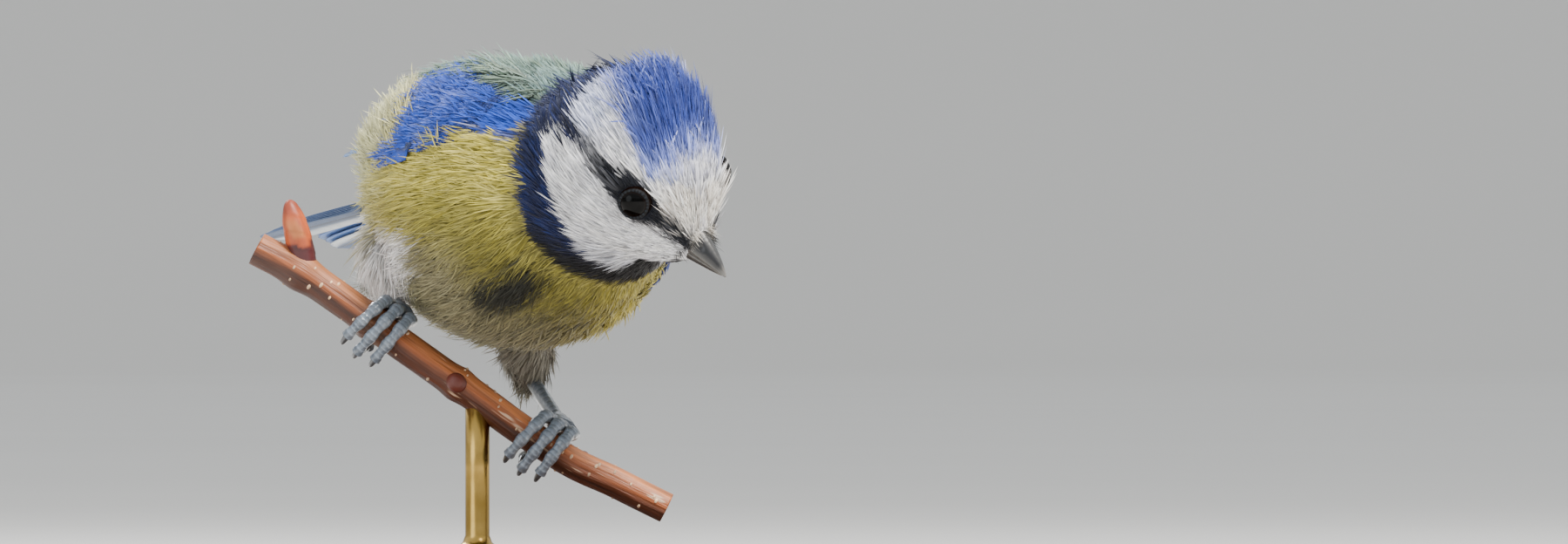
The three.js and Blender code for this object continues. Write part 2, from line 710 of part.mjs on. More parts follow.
function leg(name, { u, heel, knee, palm: palmShift, lean, hand, full }) {
  const grip = gripFrame(u);
  const heelAt = new THREE.Vector3(...heel);
  const kneeAt = new THREE.Vector3(...knee);
  const shinEnd = heelAt.clone().addScaledVector(heelAt.clone().sub(kneeAt).normalize(), 0.6);
  const thighLine = [kneeAt, kneeAt.clone().lerp(shinEnd, 0.5), shinEnd];
  const thighTube = (grow) => tube(thighLine, 9, 14, (k) => {
    const cuff = k > 0.93 ? 0.62 : 1;
    const [a, b] = [5.0 * full - (5.0 * full - 1.7) * k * k, 4.8 * full - (4.8 * full - 1.6) * k * k];
    return [a * cuff + grow, b * cuff + grow];
  });
  keep("thigh_" + name, thighTube(0).subtract(grownTrunk).subtract(twigTube(GAP)), MATERIALS.plumageWhite);

  const palm = gripPoint(grip, 122, 1.25, palmShift);
  const shank = palm.clone().sub(heelAt);
  const along = (k) => heelAt.clone().addScaledVector(shank, k);
  const tarsusTube = tube([along(0.02), along(0.5), palm], 24, 9, (k) => {
    const scute = 0.06 * Math.abs(Math.sin(k * Math.PI * 9));
    const foot = k > 0.82 ? 1.15 * Math.sin(((k - 0.82) / 0.18) * Math.PI * 0.62) : 0;
    const heelKnob = 0.35 * Math.exp(-((k / 0.1) ** 2));
    return [0.72 + heelKnob + scute + foot, 0.85 + heelKnob + scute + foot * 0.25];
  }, grip.along);
  const tarsus = tarsusTube.subtract(thighTube(GAP)).subtract(twigTube(GAP)).subtract(grownTrunk);
  keep("tarsus_" + name, tarsus, MATERIALS.leg);

  // The foot's end of the tarsus, with the gap round it, that the toes are cut back to.
  const footTube = tube([along(0.6), along(0.8), along(1.02)], 14, 10, (k) => {
    const foot = k > 0.55 ? 1.15 * Math.sin(((k - 0.55) / 0.45) * Math.PI * 0.62) : 0;
    return [0.8 + GAP + foot, 0.93 + GAP + foot * 0.25];
  }, grip.along);

  for (const [digit, toe] of Object.entries(TOES)) {
    const [near, far] = toe.shift;
    const shift = (t) => hand * (near + (far - near) * t) + lean * t * 1.5;
    const joints = toe.bend.length;
    const path = [gripPoint(grip, toe.root, 1.0, shift(0) * 0.9 + palmShift * 0.6)];
    toe.bend.forEach(([angle, off], i) => path.push(gripPoint(grip, angle, off, shift((i + 1) / joints))));
    const toeTube = tube(path, 15, 7, (k) => {
      const knuckle = 0.1 * Math.cos(k * joints * 2 * Math.PI) + 0.04 * Math.cos(k * 12 * Math.PI);
      return round(TOE.r - 0.08 * k + knuckle);
    }, grip.along);
    keep(`toe_${name}_${digit}`, toeTube.subtract(footTube).subtract(twigTube(GAP)), MATERIALS.leg);
    const clawPath = toe.claw.map(([angle, off]) => gripPoint(grip, angle, off, shift(1.05)));
    const clawSize = (k) => [TOE.claw * (1 - 0.8 * k), (TOE.claw + 0.08) * (1 - 0.8 * k)];
    const clawTube = tube(clawPath, 5, 6, clawSize, grip.along);
    keep(`claw_${name}_${digit}`, clawTube.subtract(twigTube(GAP)), MATERIALS.horn);
  }
}
for (const name of Object.keys(LEGS)) leg(name, LEGS[name]);

// Stand: a turned base and a rod whose top is cut to the twig.
const standUp = new THREE.Matrix4().makeRotationX(Math.PI / 2);
const turned = (profile, sides) => {
  const points = profile.map(([r, z]) => new THREE.Vector2(r, z));
  return new THREE.LatheGeometry(points, sides);
};
const baseProfile = [
  [0, 0],
  [BASE.r - BASE.edge * 0.5, 0],
  [BASE.r, BASE.edge * 0.5],
  [BASE.r, BASE.h - BASE.edge],
  [BASE.r - BASE.edge, BASE.h],
  [0, BASE.h],
];
const rodProfile = [
  [0, 0],
  [ROD.r + 1.6, 0],
  [ROD.r + 1.6, 0.8],
  [ROD.r, 1.6],
  [ROD.r, ROD.reach],
  [0, ROD.reach],
];
const rodAt = new THREE.Matrix4().makeTranslation(ROD.at[0], ROD.at[1], BASE.h + GAP).multiply(standUp);
keep("stand_base", solid(turned(baseProfile, 40), standUp), MATERIALS.base);
keep("stand_rod", solid(turned(rodProfile, 20), rodAt).subtract(twigTube(GAP)), MATERIALS.rod);

export default group;
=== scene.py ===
# The blue tit's looks: a smooth skin in place of the body's solids, a coat of feather blades over it, vaned
# feathers, bill, eyes, feet, twig and stand. Lengths are in millimetres until a mesh is made.
import math

import bpy
import numpy as np
from mathutils import Matrix, Vector


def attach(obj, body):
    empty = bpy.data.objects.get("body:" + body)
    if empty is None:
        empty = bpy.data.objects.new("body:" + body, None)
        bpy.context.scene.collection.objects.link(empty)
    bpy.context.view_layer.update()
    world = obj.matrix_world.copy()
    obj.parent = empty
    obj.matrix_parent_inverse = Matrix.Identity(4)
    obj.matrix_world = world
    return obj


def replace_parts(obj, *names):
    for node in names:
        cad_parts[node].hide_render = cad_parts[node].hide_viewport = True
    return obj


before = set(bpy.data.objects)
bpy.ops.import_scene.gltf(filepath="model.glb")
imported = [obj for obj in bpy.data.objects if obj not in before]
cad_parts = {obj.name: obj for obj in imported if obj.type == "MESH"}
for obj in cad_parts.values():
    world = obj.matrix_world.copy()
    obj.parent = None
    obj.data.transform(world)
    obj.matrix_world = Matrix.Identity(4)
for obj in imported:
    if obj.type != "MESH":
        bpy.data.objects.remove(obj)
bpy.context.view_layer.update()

MM = 0.001
DEG = math.pi / 180
rng = np.random.default_rng(11)

# Pose and stations, as in the solids.


def turn(heading, pitch, roll):
    about = lambda angle, axis: Matrix.Rotation(angle * DEG, 3, axis)
    return np.array(about(heading, "Z") @ about(-pitch, "Y") @ about(roll, "X"))


class Frame:
    """A place and a turn: x forwards, y to the bird's left, z up its back."""

    def __init__(self, at, heading, pitch, roll):
        self.at = np.array(at)
        self.m = turn(heading, pitch, roll)

    def out(self, p):
        return np.asarray(p) @ self.m.T + self.at

    def way(self, v):
        return np.asarray(v) @ self.m.T

    def into(self, p):
        return (np.asarray(p) - self.at) @ self.m


TRUNK = Frame((3.5, 5, 48.6), -65.5, 0, -30)
HEAD = Frame((17.2, -17.5, 52.4), -32, -38, 18)

TRUNK_ROWS = np.array([
    [24.5, 0.5, 5.0, 5.5, 4.6], [22.0, 0.4, 9.3, 9.6, 8.9], [17.0, 0.2, 13.4, 13.4, 13.0],
    [9.0, 0.0, 16.5, 16.0, 16.1], [0.0, 0.0, 17.2, 16.3, 17.0], [-8.0, 0.2, 15.8, 14.7, 15.8],
    [-15.0, 0.9, 12.9, 11.5, 12.6], [-21.0, 1.8, 9.7, 8.1, 8.6], [-26.0, 2.4, 7.0, 5.2, 5.4],
    [-29.5, 2.6, 4.6, 3.2, 3.8]])
HEAD_ROWS = np.array([
    [12.4, -2.7, 1.9, 1.8, 1.7], [11.2, -2.5, 3.3, 3.6, 2.9], [9.4, -1.9, 5.4, 6.6, 4.7],
    [6.6, -1.1, 7.9, 9.1, 6.9], [3.0, -0.4, 9.8, 10.4, 8.8], [-1.0, 0.0, 10.6, 10.9, 10.0],
    [-5.0, 0.0, 10.3, 10.4, 10.2], [-8.6, 0.0, 8.4, 8.6, 8.6], [-11.2, 0.0, 4.8, 5.0, 5.0]])
WING_ROWS = np.array([
    [17.0, 0.2, 13.4, 13.4, 13.0], [9.0, 0.0, 16.5, 16.0, 16.1], [0.0, 0.0, 17.2, 16.3, 17.0],
    [-8.0, 0.2, 15.9, 14.8, 15.8], [-16.0, 0.9, 13.3, 11.6, 12.6], [-24.0, 1.9, 11.0, 8.8, 9.4],
    [-32.0, 2.6, 8.8, 7.2, 7.0], [-40.0, 2.6, 6.8, 5.6, 4.6], [-50.0, 2.2, 4.8, 4.4, 3.6]])
EYE = {"at": (5.6, 6.7, 1.9), "way": (0.45, 0.85, 0.28), "r": 2.0}
BILL = {"base": 10.9, "tip": 16.6, "level": -2.4, "half": 2.05, "rise": 2.35, "drop": 1.75, "fall": 0.45}
TWIG_BENDS = [(-26.5, 0.4, 43.4), (-21.5, 0.2, 40.7), (-16.0, 0, 36.9), (-9.4, 0, 32.0), (-2.8, 0, 27.4),
              (5.8, 0, 21.3), (10.0, 0, 18.7), (14.5, 0, 16.6), (20.5, 0.3, 13.6)]
TWIG_R = (1.95, 1.75)


def unit(v):
    v = np.asarray(v, float)
    return v / np.maximum(np.linalg.norm(v, axis=-1, keepdims=True), 1e-9)


def smooth(a, b, x):
    t = np.clip((np.asarray(x, float) - a) / (b - a), 0, 1)
    return t * t * (3 - 2 * t)


def flat_on(way, normal):
    """A direction without its part across the surface."""
    return way - normal * (way * normal).sum(-1, keepdims=True)


def between(pair, t):
    return pair[0] + (pair[1] - pair[0]) * t


def circle(count):
    """Even steps once round, in radians."""
    return np.arange(count) * 2 * math.pi / count


def row_at(rows, t):
    """The row at a place counted in rows, on a smooth curve through them all."""
    t = np.asarray(t, float)
    k = np.clip(np.floor(t).astype(int), 0, len(rows) - 2)
    s = (t - k)[..., None]
    a, b, c, d = (rows[np.clip(k + i, 0, len(rows) - 1)] for i in (-1, 0, 1, 2))
    out, into, rest = (c - a) / 2, (d - b) / 2, c - b
    return b + s * out + s * s * (3 * rest - 2 * out - into) + s * s * s * (out + into - 2 * rest)


def row_for_x(rows, x):
    xs = rows[:, 0]
    k = np.clip(np.searchsorted(-xs, -np.asarray(x, float), side="right") - 1, 0, len(xs) - 2)
    return row_at(rows, k + (xs[k] - x) / (xs[k] - xs[k + 1]))


def station(row, angle, grow=0.0):
    """The point at an angle round a row: x, height of its middle, half width, reach above and below."""
    up = np.sin(angle)
    reach = np.where(up > 0, row[..., 3], row[..., 4]) + grow
    across = (row[..., 2] + grow) * np.cos(angle)
    return np.stack([row[..., 0] + 0 * up, across, row[..., 1] + reach * up], -1)


def wing_point(hand, x, angle, lift):
    """On or over the folded wing's surface; angles run up from the side of the body, in degrees."""
    p = station(row_for_x(WING_ROWS, x), np.asarray(angle, float) * DEG, lift)
    p[..., 1] *= hand
    return TRUNK.out(p)


def curve_points(points, count):
    """Points at even steps on a centripetal curve through the given ones."""
    p = np.array(points, float)
    p = np.vstack([2 * p[0] - p[1], p, 2 * p[-1] - p[-2]])
    knots = np.concatenate([[0], np.cumsum(np.linalg.norm(np.diff(p, axis=0), axis=1) ** 0.5)])
    dense = []
    for i in range(1, len(p) - 2):
        k0, k1, k2, k3 = knots[i - 1:i + 3]
        t = np.linspace(k1, k2, 24, endpoint=False)[:, None]
        a1 = (k1 - t) / (k1 - k0) * p[i - 1] + (t - k0) / (k1 - k0) * p[i]
        a2 = (k2 - t) / (k2 - k1) * p[i] + (t - k1) / (k2 - k1) * p[i + 1]
        a3 = (k3 - t) / (k3 - k2) * p[i + 1] + (t - k2) / (k3 - k2) * p[i + 2]
        b1 = (k2 - t) / (k2 - k0) * a1 + (t - k0) / (k2 - k0) * a2
        b2 = (k3 - t) / (k3 - k1) * a2 + (t - k1) / (k3 - k1) * a3
        dense.append((k2 - t) / (k2 - k1) * b1 + (t - k1) / (k2 - k1) * b2)
    dense = np.vstack(dense + [p[-2:-1]])
    run = np.concatenate([[0], np.cumsum(np.linalg.norm(np.diff(dense, axis=0), axis=1))])
    at = np.linspace(0, run[-1], count)
    return np.stack([np.interp(at, run, dense[:, i]) for i in range(3)], -1)


# Meshes.


def set_tint(mesh, tint):
    layer = mesh.color_attributes.new("tint", "FLOAT_COLOR", "POINT")
    rgba = np.concatenate([tint, np.ones((len(tint), 1))], 1)
    layer.data.foreach_set("color", rgba.astype(np.float32).ravel())


def mesh_piece(name, body, material, tint=None, uv=None, grain=None):
    """A piece from a body: points in millimetres, then arrays of faces with 3 or 4 corners each."""
    verts, *faces = body
    mesh = bpy.data.meshes.new(name)
    verts = np.asarray(verts, np.float32) * MM
    mesh.vertices.add(len(verts))
    mesh.vertices.foreach_set("co", verts.ravel())
    faces = [np.asarray(f, np.int32) for f in faces if len(f)]
    loops = np.concatenate([f.ravel() for f in faces])
    sizes = np.concatenate([np.full(len(f), f.shape[1], np.int32) for f in faces])
    starts = np.concatenate([[0], np.cumsum(sizes)[:-1]]).astype(np.int32)
    mesh.loops.add(len(loops))
    mesh.loops.foreach_set("vertex_index", loops)
    mesh.polygons.add(len(sizes))
    mesh.polygons.foreach_set("loop_start", starts)
    mesh.update(calc_edges=True)
    mesh.validate()
    mesh.polygons.foreach_set("use_smooth", np.full(len(mesh.polygons), True))
    if tint is not None:
        set_tint(mesh, tint)
    if grain is not None:
        layer = mesh.attributes.new("grain", "FLOAT_VECTOR", "POINT")
        layer.data.foreach_set("vector", np.asarray(grain, np.float32).ravel())
    if uv is not None:
        layer = mesh.uv_layers.new(name="OFBake")
        corner = np.empty(len(mesh.loops), np.int32)
        mesh.loops.foreach_get("vertex_index", corner)
        layer.data.foreach_set("uv", np.asarray(uv, np.float32)[corner].ravel())
    piece = bpy.data.objects.new(name, mesh)
    bpy.context.scene.collection.objects.link(piece)
    mesh.materials.append(material)
    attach(piece, "root")
    return piece


def ring_faces(rings, count):
    """Faces between one ring of points and the next."""
    i, j = np.meshgrid(np.arange(rings - 1), np.arange(count), indexing="ij")
    a = i * count + j
    b = i * count + (j + 1) % count
    return np.stack([a, b, b + count, a + count], -1).reshape(-1, 4)


def capped(rings):
    """Points and faces of a closed body through rings of points, with a fan over each end."""
    n, count = rings.shape[:2]
    verts = np.vstack([rings.reshape(-1, 3), rings[0].mean(0), rings[-1].mean(0)])
    quads = ring_faces(n, count)
    k = np.arange(count)
    after, end = (k + 1) % count, (n - 1) * count
    tris = np.vstack([np.stack([np.full(count, n * count), after, k], -1),
                      np.stack([np.full(count, n * count + 1), end + k, end + after], -1)])
    volume = 0.0
    for f in (np.vstack([quads[:, :3], quads[:, [0, 2, 3]]]), tris):
        a, b, c = (verts[f[:, i]] for i in range(3))
        volume += np.einsum("ij,ij->i", a, np.cross(b, c)).sum()
    if volume < 0:
        quads, tris = quads[:, ::-1], tris[:, ::-1]
    return verts, quads, tris


def tube(points, count, sides, size, axis=None, shape=None):
    """A closed tube; size(u) gives its half thickness along axis and across it."""
    p = curve_points(points, count)
    along = unit(np.gradient(p, axis=0))
    u = np.linspace(0, 1, count)
    across = np.array(axis if axis is not None else np.cross((0, 0, 1), along[0]), float)
    angle = circle(sides)
    rings = np.empty((count, sides, 3))
    a, b = size(u)
    for i in range(count):
        across = unit(across - along[i] * across.dot(along[i]))
        over = np.cross(along[i], across)
        ra, rb = a[i], b[i]
        if shape is not None:
            ra, rb = ra * shape(u[i], angle), rb * shape(u[i], angle)
        rings[i] = p[i] + (ra * np.cos(angle))[:, None] * across + (rb * np.sin(angle))[:, None] * over
    return rings


def join_bodies(bodies):
    """Several closed bodies as one."""
    verts, quads, tris, base = [], [], [], 0
    for v, q, t in bodies:
        verts.append(v)
        quads.append(q + base)
        tris.append(t + base)
        base += len(v)
    return np.vstack(verts), np.vstack(quads), np.vstack(tris)


# Materials.


def hexed(code):
    c = np.array([int(code[i:i + 2], 16) / 255 for i in (1, 3, 5)])
    return np.where(c <= 0.04045, c / 12.92, ((c + 0.055) / 1.055) ** 2.4)


class Nodes:
    """Shorthand for building a node material."""

    def __init__(self, name):
        self.mat = bpy.data.materials.new(name)
        self.mat.use_nodes = True
        self.tree = self.mat.node_tree
        self.bsdf = self.tree.nodes["Principled BSDF"]

    def set(self, **values):
        for key, value in values.items():
            self.bsdf.inputs[key.replace("_", " ")].default_value = value
        return self

    def add(self, kind, **values):
        node = self.tree.nodes.new(kind)
        for key, value in values.items():
            if hasattr(node, key):
                setattr(node, key, value)
            else:
                node.inputs[key.replace("_", " ")].default_value = value
        return node

    def link(self, a, b):
        self.tree.links.new(a, b)

    def attribute(self, name, output="Color"):
        return self.add("ShaderNodeAttribute", attribute_name=name).outputs[output]

    def noise(self, scale, detail=4, stretch=(1, 1, 1), source=None):
        """Noise over the piece's own space, in lengths of one metre."""
        coords = self.add("ShaderNodeTexCoord").outputs["Object"] if source is None else source
        mapping = self.add("ShaderNodeMapping")
        mapping.inputs["Scale"].default_value = stretch
        self.link(coords, mapping.inputs["Vector"])
        tex = self.add("ShaderNodeTexNoise", Scale=scale, Detail=detail)
        self.link(mapping.outputs[0], tex.inputs["Vector"])
        return tex.outputs["Fac"]

    def ramp(self, value, stops):
        node = self.add("ShaderNodeValToRGB")
        ramp = node.color_ramp
        while len(ramp.elements) < len(stops):
            ramp.elements.new(0.5)
        for element, (at, colour) in zip(ramp.elements, stops):
            element.position = at
            element.color = (*colour, 1)
        self.link(value, node.inputs["Fac"])
        return node.outputs["Color"]

    def spread(self, value, low, high):
        """Colours from low to high over the middle of a value's range; a single number is a grey."""
        low, high = ((c,) * 3 if isinstance(c, float) else c for c in (low, high))
        return self.ramp(value, [(0.3, low), (0.7, high)])

    def mix(self, a, b, factor, kind="MIX"):
        node = self.add("ShaderNodeMix", data_type="RGBA", blend_type=kind)
        for socket, value in ((node.inputs["Factor"], factor), (node.inputs[6], a), (node.inputs[7], b)):
            if isinstance(value, bpy.types.NodeSocket):
                self.link(value, socket)
            else:
                socket.default_value = value if isinstance(value, float) else (*value, 1)
        return node.outputs[2]

    def bump(self, height, strength, distance):
        node = self.add("ShaderNodeBump", Strength=strength, Distance=distance)
        self.link(height, node.inputs["Height"])
        self.link(node.outputs[0], self.bsdf.inputs["Normal"])

    def colour(self, socket):
        self.link(socket, self.bsdf.inputs["Base Color"])

    def tinted(self, shade):
        """The piece's own colours, made lighter and darker by shade."""
        self.colour(self.mix(self.attribute("tint"), shade, 1.0, "MULTIPLY"))


def plumage(name, rough, sheen, mottled=0.16, scale=900):
    n = Nodes(name).set(Roughness=rough, Specular_IOR_Level=0.25, Sheen_Weight=sheen, Sheen_Roughness=0.5)
    n.tinted(n.spread(n.noise(scale, 3), 1 - mottled, 1 + mottled * 0.5))
    return n


COAT = plumage("feather_coat", 0.62, 0.15).mat
SKIN = plumage("feather_bed", 0.85, 0.1)
SKIN.bump(SKIN.noise(2600, 3), 0.6, 0.0004)
SKIN = SKIN.mat


def vane_material():
    n = plumage("vaned_feather", 0.5, 0.05, 0.12, 700)
    barbs = n.noise(1.0, 2, (70, 7, 1), n.attribute("grain", "Vector"))
    n.bump(barbs, 0.5, 0.00012)
    return n.mat


VANE = vane_material()

# Markings of the plumage.

INK = {name: hexed(code) for name, code in {
    "cap": "#2f449c", "cap_pale": "#8f9fe6", "white": "#fafaff", "pale_blue": "#b6c0e4", "cream": "#fdf7ef",
    "grey": "#9a9fb0", "stripe": "#101420", "collar": "#10183a", "collar_blue": "#1a3070", "bib": "#0d0e12",
    "mantle": "#6c8784",
    "mantle_green": "#8b9c7c", "yellow": "#b3a636", "yellow_pale": "#cdc374", "olive": "#746f30",
    # The darker thigh colour is the thighs' white in painted shade.
    "belly": "#bdb592", "fluff": "#c6c496", "vent": "#23241c", "thigh": "#eceae8", "thigh_shade": "#8d897c",
    "rump": "#8f9e74", "wing": "#234bb4",
    "wing_dark": "#1b2a52", "flight": "#39404c", "flight_edge": "#5f8bc4", "tip": "#d6dce0",
    "tail": "#41597f", "tail_edge": "#5f86c8"}.items()}


def blend(a, b, t):
    """From a to b by shares t; each is an array of colours, a name in INK or a hex code."""
    a, b = ((INK[c] if c in INK else hexed(c)) if isinstance(c, str) else c for c in (a, b))
    t = np.asarray(t)[..., None]
    return a * (1 - t) + b * t


RIPPLES = 5  # waves that make up one ripple


def ripple(p, scale, seed):
    """Smooth wandering values from -1 to 1 over space."""
    waves = np.random.default_rng(seed).normal(0, scale, (RIPPLES, 3))
    return np.sin(p @ waves.T + (np.arange(RIPPLES) * 1.7 + seed)).mean(-1) * 1.6


def head_share(p):
    """How far inside the collar's outer edge a point is: over 0 on the head, under about -6 on the body."""
    h = HEAD.into(p)
    return np.minimum(h[:, 2] + 0.93 * h[:, 0] + 6.4, (h[:, 0] + 7.9) * 1.1)


def collar_width(p):
    h = HEAD.into(p)
    return np.interp(h[:, 0], [-8, -5, -2, 0.5, 4, 7], [7.4, 8.2, 7.4, 5.8, 3.7, 2.4])


def markings(p):
    h, t = HEAD.into(p), TRUNK.into(p)
    x, y, z = h.T
    ay = np.abs(y)
    fuzz = ripple(p, 2.2, 3) * 0.45
    fine = ripple(p, 5.0, 5)

    # Body: green-grey back, yellow flanks and breast, cream belly with a dark streak down its middle, and
    # painted shade on the underside.
    tx, ty, tz = t.T
    body = blend("yellow", "yellow_pale", np.clip(0.35 + 0.35 * fine, 0, 1))
    body = blend(body, "olive", 0.55 * smooth(-3, -12, tz) * smooth(4, 16, tx))
    body = blend(body, "belly", 0.8 * smooth(-9.5, -14, tz + fuzz * 2) * smooth(15, 6, tx))
    # Painted shade: the underside grows darker, down to half its colour, towards the bottom of the body.
    body = body * (1 - 0.5 * smooth(-5, -14, tz))[:, None]
    body = blend(body, "fluff", 0.75 * smooth(4, -12, tx) * smooth(4, -2, tz) * (0.7 + 0.3 * fine))
    back = blend("mantle", "mantle_green", np.clip(0.4 - 0.3 * tx / 15 + 0.3 * fine, 0, 1))
    back = blend(back, "rump", smooth(-12, -22, tx))
    edge = np.interp(tx, [2, 10, 15, 20], [-2.2, 1.0, 5.4, 7.0])
    body = blend(body, back, smooth(-1.2, 1.2, tz - edge + fuzz * 1.5))
    row = row_for_x(WING_ROWS, tx)
    turned = np.degrees(np.arctan2(tz - row[:, 1], np.abs(ty))) + fuzz * 5
    bend = smooth(4, 8, turned) * smooth(33, 28, turned)
    bend = bend * smooth(19.5, 17.5, tx + fuzz * 2) * smooth(4, 7, tx)
    body = blend(body, "wing", bend)
    streak = smooth(2.9, 1.3, np.abs(ty + 1.6) + fuzz) * smooth(-8, -11, tz)
    streak = streak * smooth(5.5, 10.5, tx) * smooth(20, 17, tx)
    body = blend(body, "vent", streak)

    # Head: white with a blue cap, a dark stripe through the eye, and a dark collar that meets the bib.
    white = blend("white", "cream", smooth(5.5, 8.5, x) * smooth(-1, 2, z))
    # Painted shade greys the white towards the bottom of the head; the random grey patches behind the face
    # are the feathers' own tone.
    white = blend(white, "grey", 0.35 * smooth(-5, -9, z) + 0.3 * smooth(0.2, 0.9, fine) * smooth(8, 4, x))
    white = blend(white, "pale_blue", 0.75 * smooth(1, -5, x) * smooth(4.5, 7, z))
    half = np.interp(x, [-10, -8.6, -6.5, -4.7, -2.9, -1.2, 0.5, 3, 5, 7.2, 8.2, 8.9],
                     [0, 1.8, 3.0, 4.0, 5.0, 5.8, 6.2, 6.6, 6.1, 4.3, 2.0, 0])
    in_cap = smooth(-0.6, 0.5, half - ay + fuzz) * smooth(2.0, 3.2, z + 0.15 * x + 0.6)
    pale = smooth(2.0, 6.0, x) * 0.8 + 0.4 * smooth(2.4, 0, half - ay) + 0.2 * fine
    cap = blend("cap", "cap_pale", np.clip(pale, 0, 1))
    cap = cap * (1 - 0.55 * smooth(0.25, 0.9, ripple(p, 8.0, 41)) * smooth(7, 3, x))[:, None]
    cap = blend(cap, "white", 0.85 * smooth(4.8, 7.2, x + fuzz))
    head = blend(white, cap, in_cap)
    mid = np.interp(x, [-9, -7.9, -4.6, -1.6, 1.1, 3.8, 6, 8.1, 10, 11.3],
                    [4.2, 4.6, 5.0, 4.8, 4.1, 3.1, 2.2, 1.2, 0, -1.1])
    thick = np.interp(x, [-9, -6, -4, 0, 4.5, 6.5, 8, 11.5], [1.9, 1.1, 0.65, 0.9, 2.2, 2.1, 1.1, 0.9])
    stripe = smooth(0.55, -0.45, np.abs(z - mid) - thick + fuzz * 0.6) * smooth(1.2, 2.0, ay)
    stripe = stripe * smooth(12.6, 12.0, x)
    worn = 0.35 * smooth(2.5, -1, x) * smooth(-8, -5, x) * smooth(-0.2, 0.9, ripple(p, 3.5, 6))
    stripe = stripe * (1 - worn)
    head = blend(head, blend("stripe", "collar", smooth(0, -6, x)), stripe)
    bib = smooth(0.4, -0.4, ay - 2.3 - 0.25 * (9 - x).clip(0, 5) + fuzz * 0.6)
    bib = bib * smooth(-3.6, -4.4, z) * smooth(1, 3, x)
    s = head_share(p) + fuzz * 0.5
    blue = np.clip(0.35 + 0.5 * fine - 0.25 * smooth(-6, -11, z), 0, 1)
    collar = blend("collar", "collar_blue", blue * 0.8)
    collar = blend(collar, "bib", smooth(-7, -11, z))
    head = blend(head, collar, smooth(0.4, -0.4, s))
    head = blend(head, "bib", bib)
    return blend(body, head, smooth(-0.7, 0.5, s + collar_width(p)))


# The smooth skin under the coat.


def station_body(rows, steps, sides, where, grow):
    row = row_at(rows, np.linspace(0, len(rows) - 1, steps + 1))
    p = station(row[:, None, :], circle(sides)[None, :], grow)
    p[0, :, 0] += grow
    p[-1, :, 0] -= grow
    return capped(where.out(p))


# Each leg: its place along the twig, heel and knee, where the palm lies, the toes' lean, and its fullness.
LEGS = {"right": dict(u=0.312, heel=(-12.6, 17.2, 40.6), knee=(-9.0, 4.5, 44.0), palm=0.4, lean=-0.6,
                      hand=1, full=1.0),
        "left": dict(u=0.722, heel=(4.4, 16.8, 28.9), knee=(4.2, 5.5, 36.5), palm=0.5, lean=-0.6,
                     hand=-1, full=0.78)}


def thigh_ends(leg):
    """Both ends of a thigh: its knee, and a point just past its heel."""
    heel, knee = np.array(leg["heel"], float), np.array(leg["knee"], float)
    return knee, heel + unit(heel - knee) * 0.6


def thigh_body(leg):
    knee, end = thigh_ends(leg)
    wide, deep = 4.5 * leg["full"], 4.3 * leg["full"]
    size = lambda u: (wide - (wide - 1.2) * u * u, deep - (deep - 1.1) * u * u)
    return capped(tube((knee, (knee + end) / 2, end), 24, 28, size))


def neck_body():
    """The neck, from deep in the trunk to the middle of the head."""
    start, end = TRUNK.out((9, 0, 1)), HEAD.out((0.5, 0, 0))
    size = lambda u: (14.4 - 4.9 * u, 14.0 - 4.6 * u)
    return capped(tube([start, (start + end) / 2, end], 20, 60, size, TRUNK.way((0, 1, 0))))

# How far the skin lies under the surface of the solids, to leave room for the coat.
BED = {"head": -0.75, "trunk": -1.4}
flesh = [station_body(TRUNK_ROWS, 60, 72, TRUNK, BED["trunk"]),
         station_body(HEAD_ROWS, 60, 72, HEAD, BED["head"]),
         neck_body(), *(thigh_body(leg) for leg in LEGS.values())]
skin = mesh_piece("skin", join_bodies(flesh), SKIN)
bpy.context.view_layer.objects.active = skin
for kind, values in (("REMESH", dict(mode="VOXEL", voxel_size=0.45 * MM, use_smooth_shade=True)),
                     ("SMOOTH", dict(factor=0.5, iterations=14))):
    modifier = skin.modifiers.new(kind.lower(), kind)
    for key, value in values.items():
        setattr(modifier, key, value)
    with bpy.context.temp_override(object=skin, active_object=skin):
        bpy.ops.object.modifier_apply(modifier=modifier.name)


def read_rows(items, key, kind=float):
    """Three values of each item of a mesh."""
    values = np.empty(len(items) * 3, kind)
    items.foreach_get(key, values)
    return values.reshape(-1, 3)


mesh = skin.data
skin_at = read_rows(mesh.vertices, "co") / MM
skin_normal = read_rows(mesh.vertices, "normal")
mesh.calc_loop_triangles()
skin_tris = read_rows(mesh.loop_triangles, "vertices", np.int32)


def thigh_white(p):
    """Share of a point that belongs to the white feathers of a thigh, by how near it is to the leg's line."""
    share = np.zeros(len(p))
    for leg in LEGS.values():
        a, b = thigh_ends(leg)
        t = np.clip((p - a) @ (b - a) / ((b - a) @ (b - a)), 0, 1)
        d = np.linalg.norm(p - (a + t[:, None] * (b - a)), axis=1)
        share = np.maximum(share, smooth(2.2, 0.8, d - (4.6 - 3.0 * t * t)) * smooth(0.12, 0.45, t))
    inside = TRUNK.into(p)
    boot = smooth(-15.6, -14.0, p[:, 0]) * smooth(-8.2, -9.6, p[:, 0]) * smooth(46.2, 44.2, p[:, 2])
    return np.maximum(share, boot * smooth(-1, -3, inside[:, 2]) * smooth(0, -2, inside[:, 1]))


def coat_colour(p):
    """The bird's colour at points in space: its markings, and the pale feathers of the thighs, with painted
    shade that greys the left thigh.
    """
    # Painted shade: the thighs' white turns dark grey from x = -2 onwards, over the left thigh.
    white = blend("thigh", "thigh_shade", smooth(-2, 1, p[:, 0]))
    return blend(markings(p), white, thigh_white(p))


UNDER = 0.8  # how bright the skin is against the coat over it
set_tint(mesh, coat_colour(skin_at) * UNDER)
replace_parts(skin, "head", "neck", "trunk", "thigh_left", "thigh_right")

# The coat of feather blades.


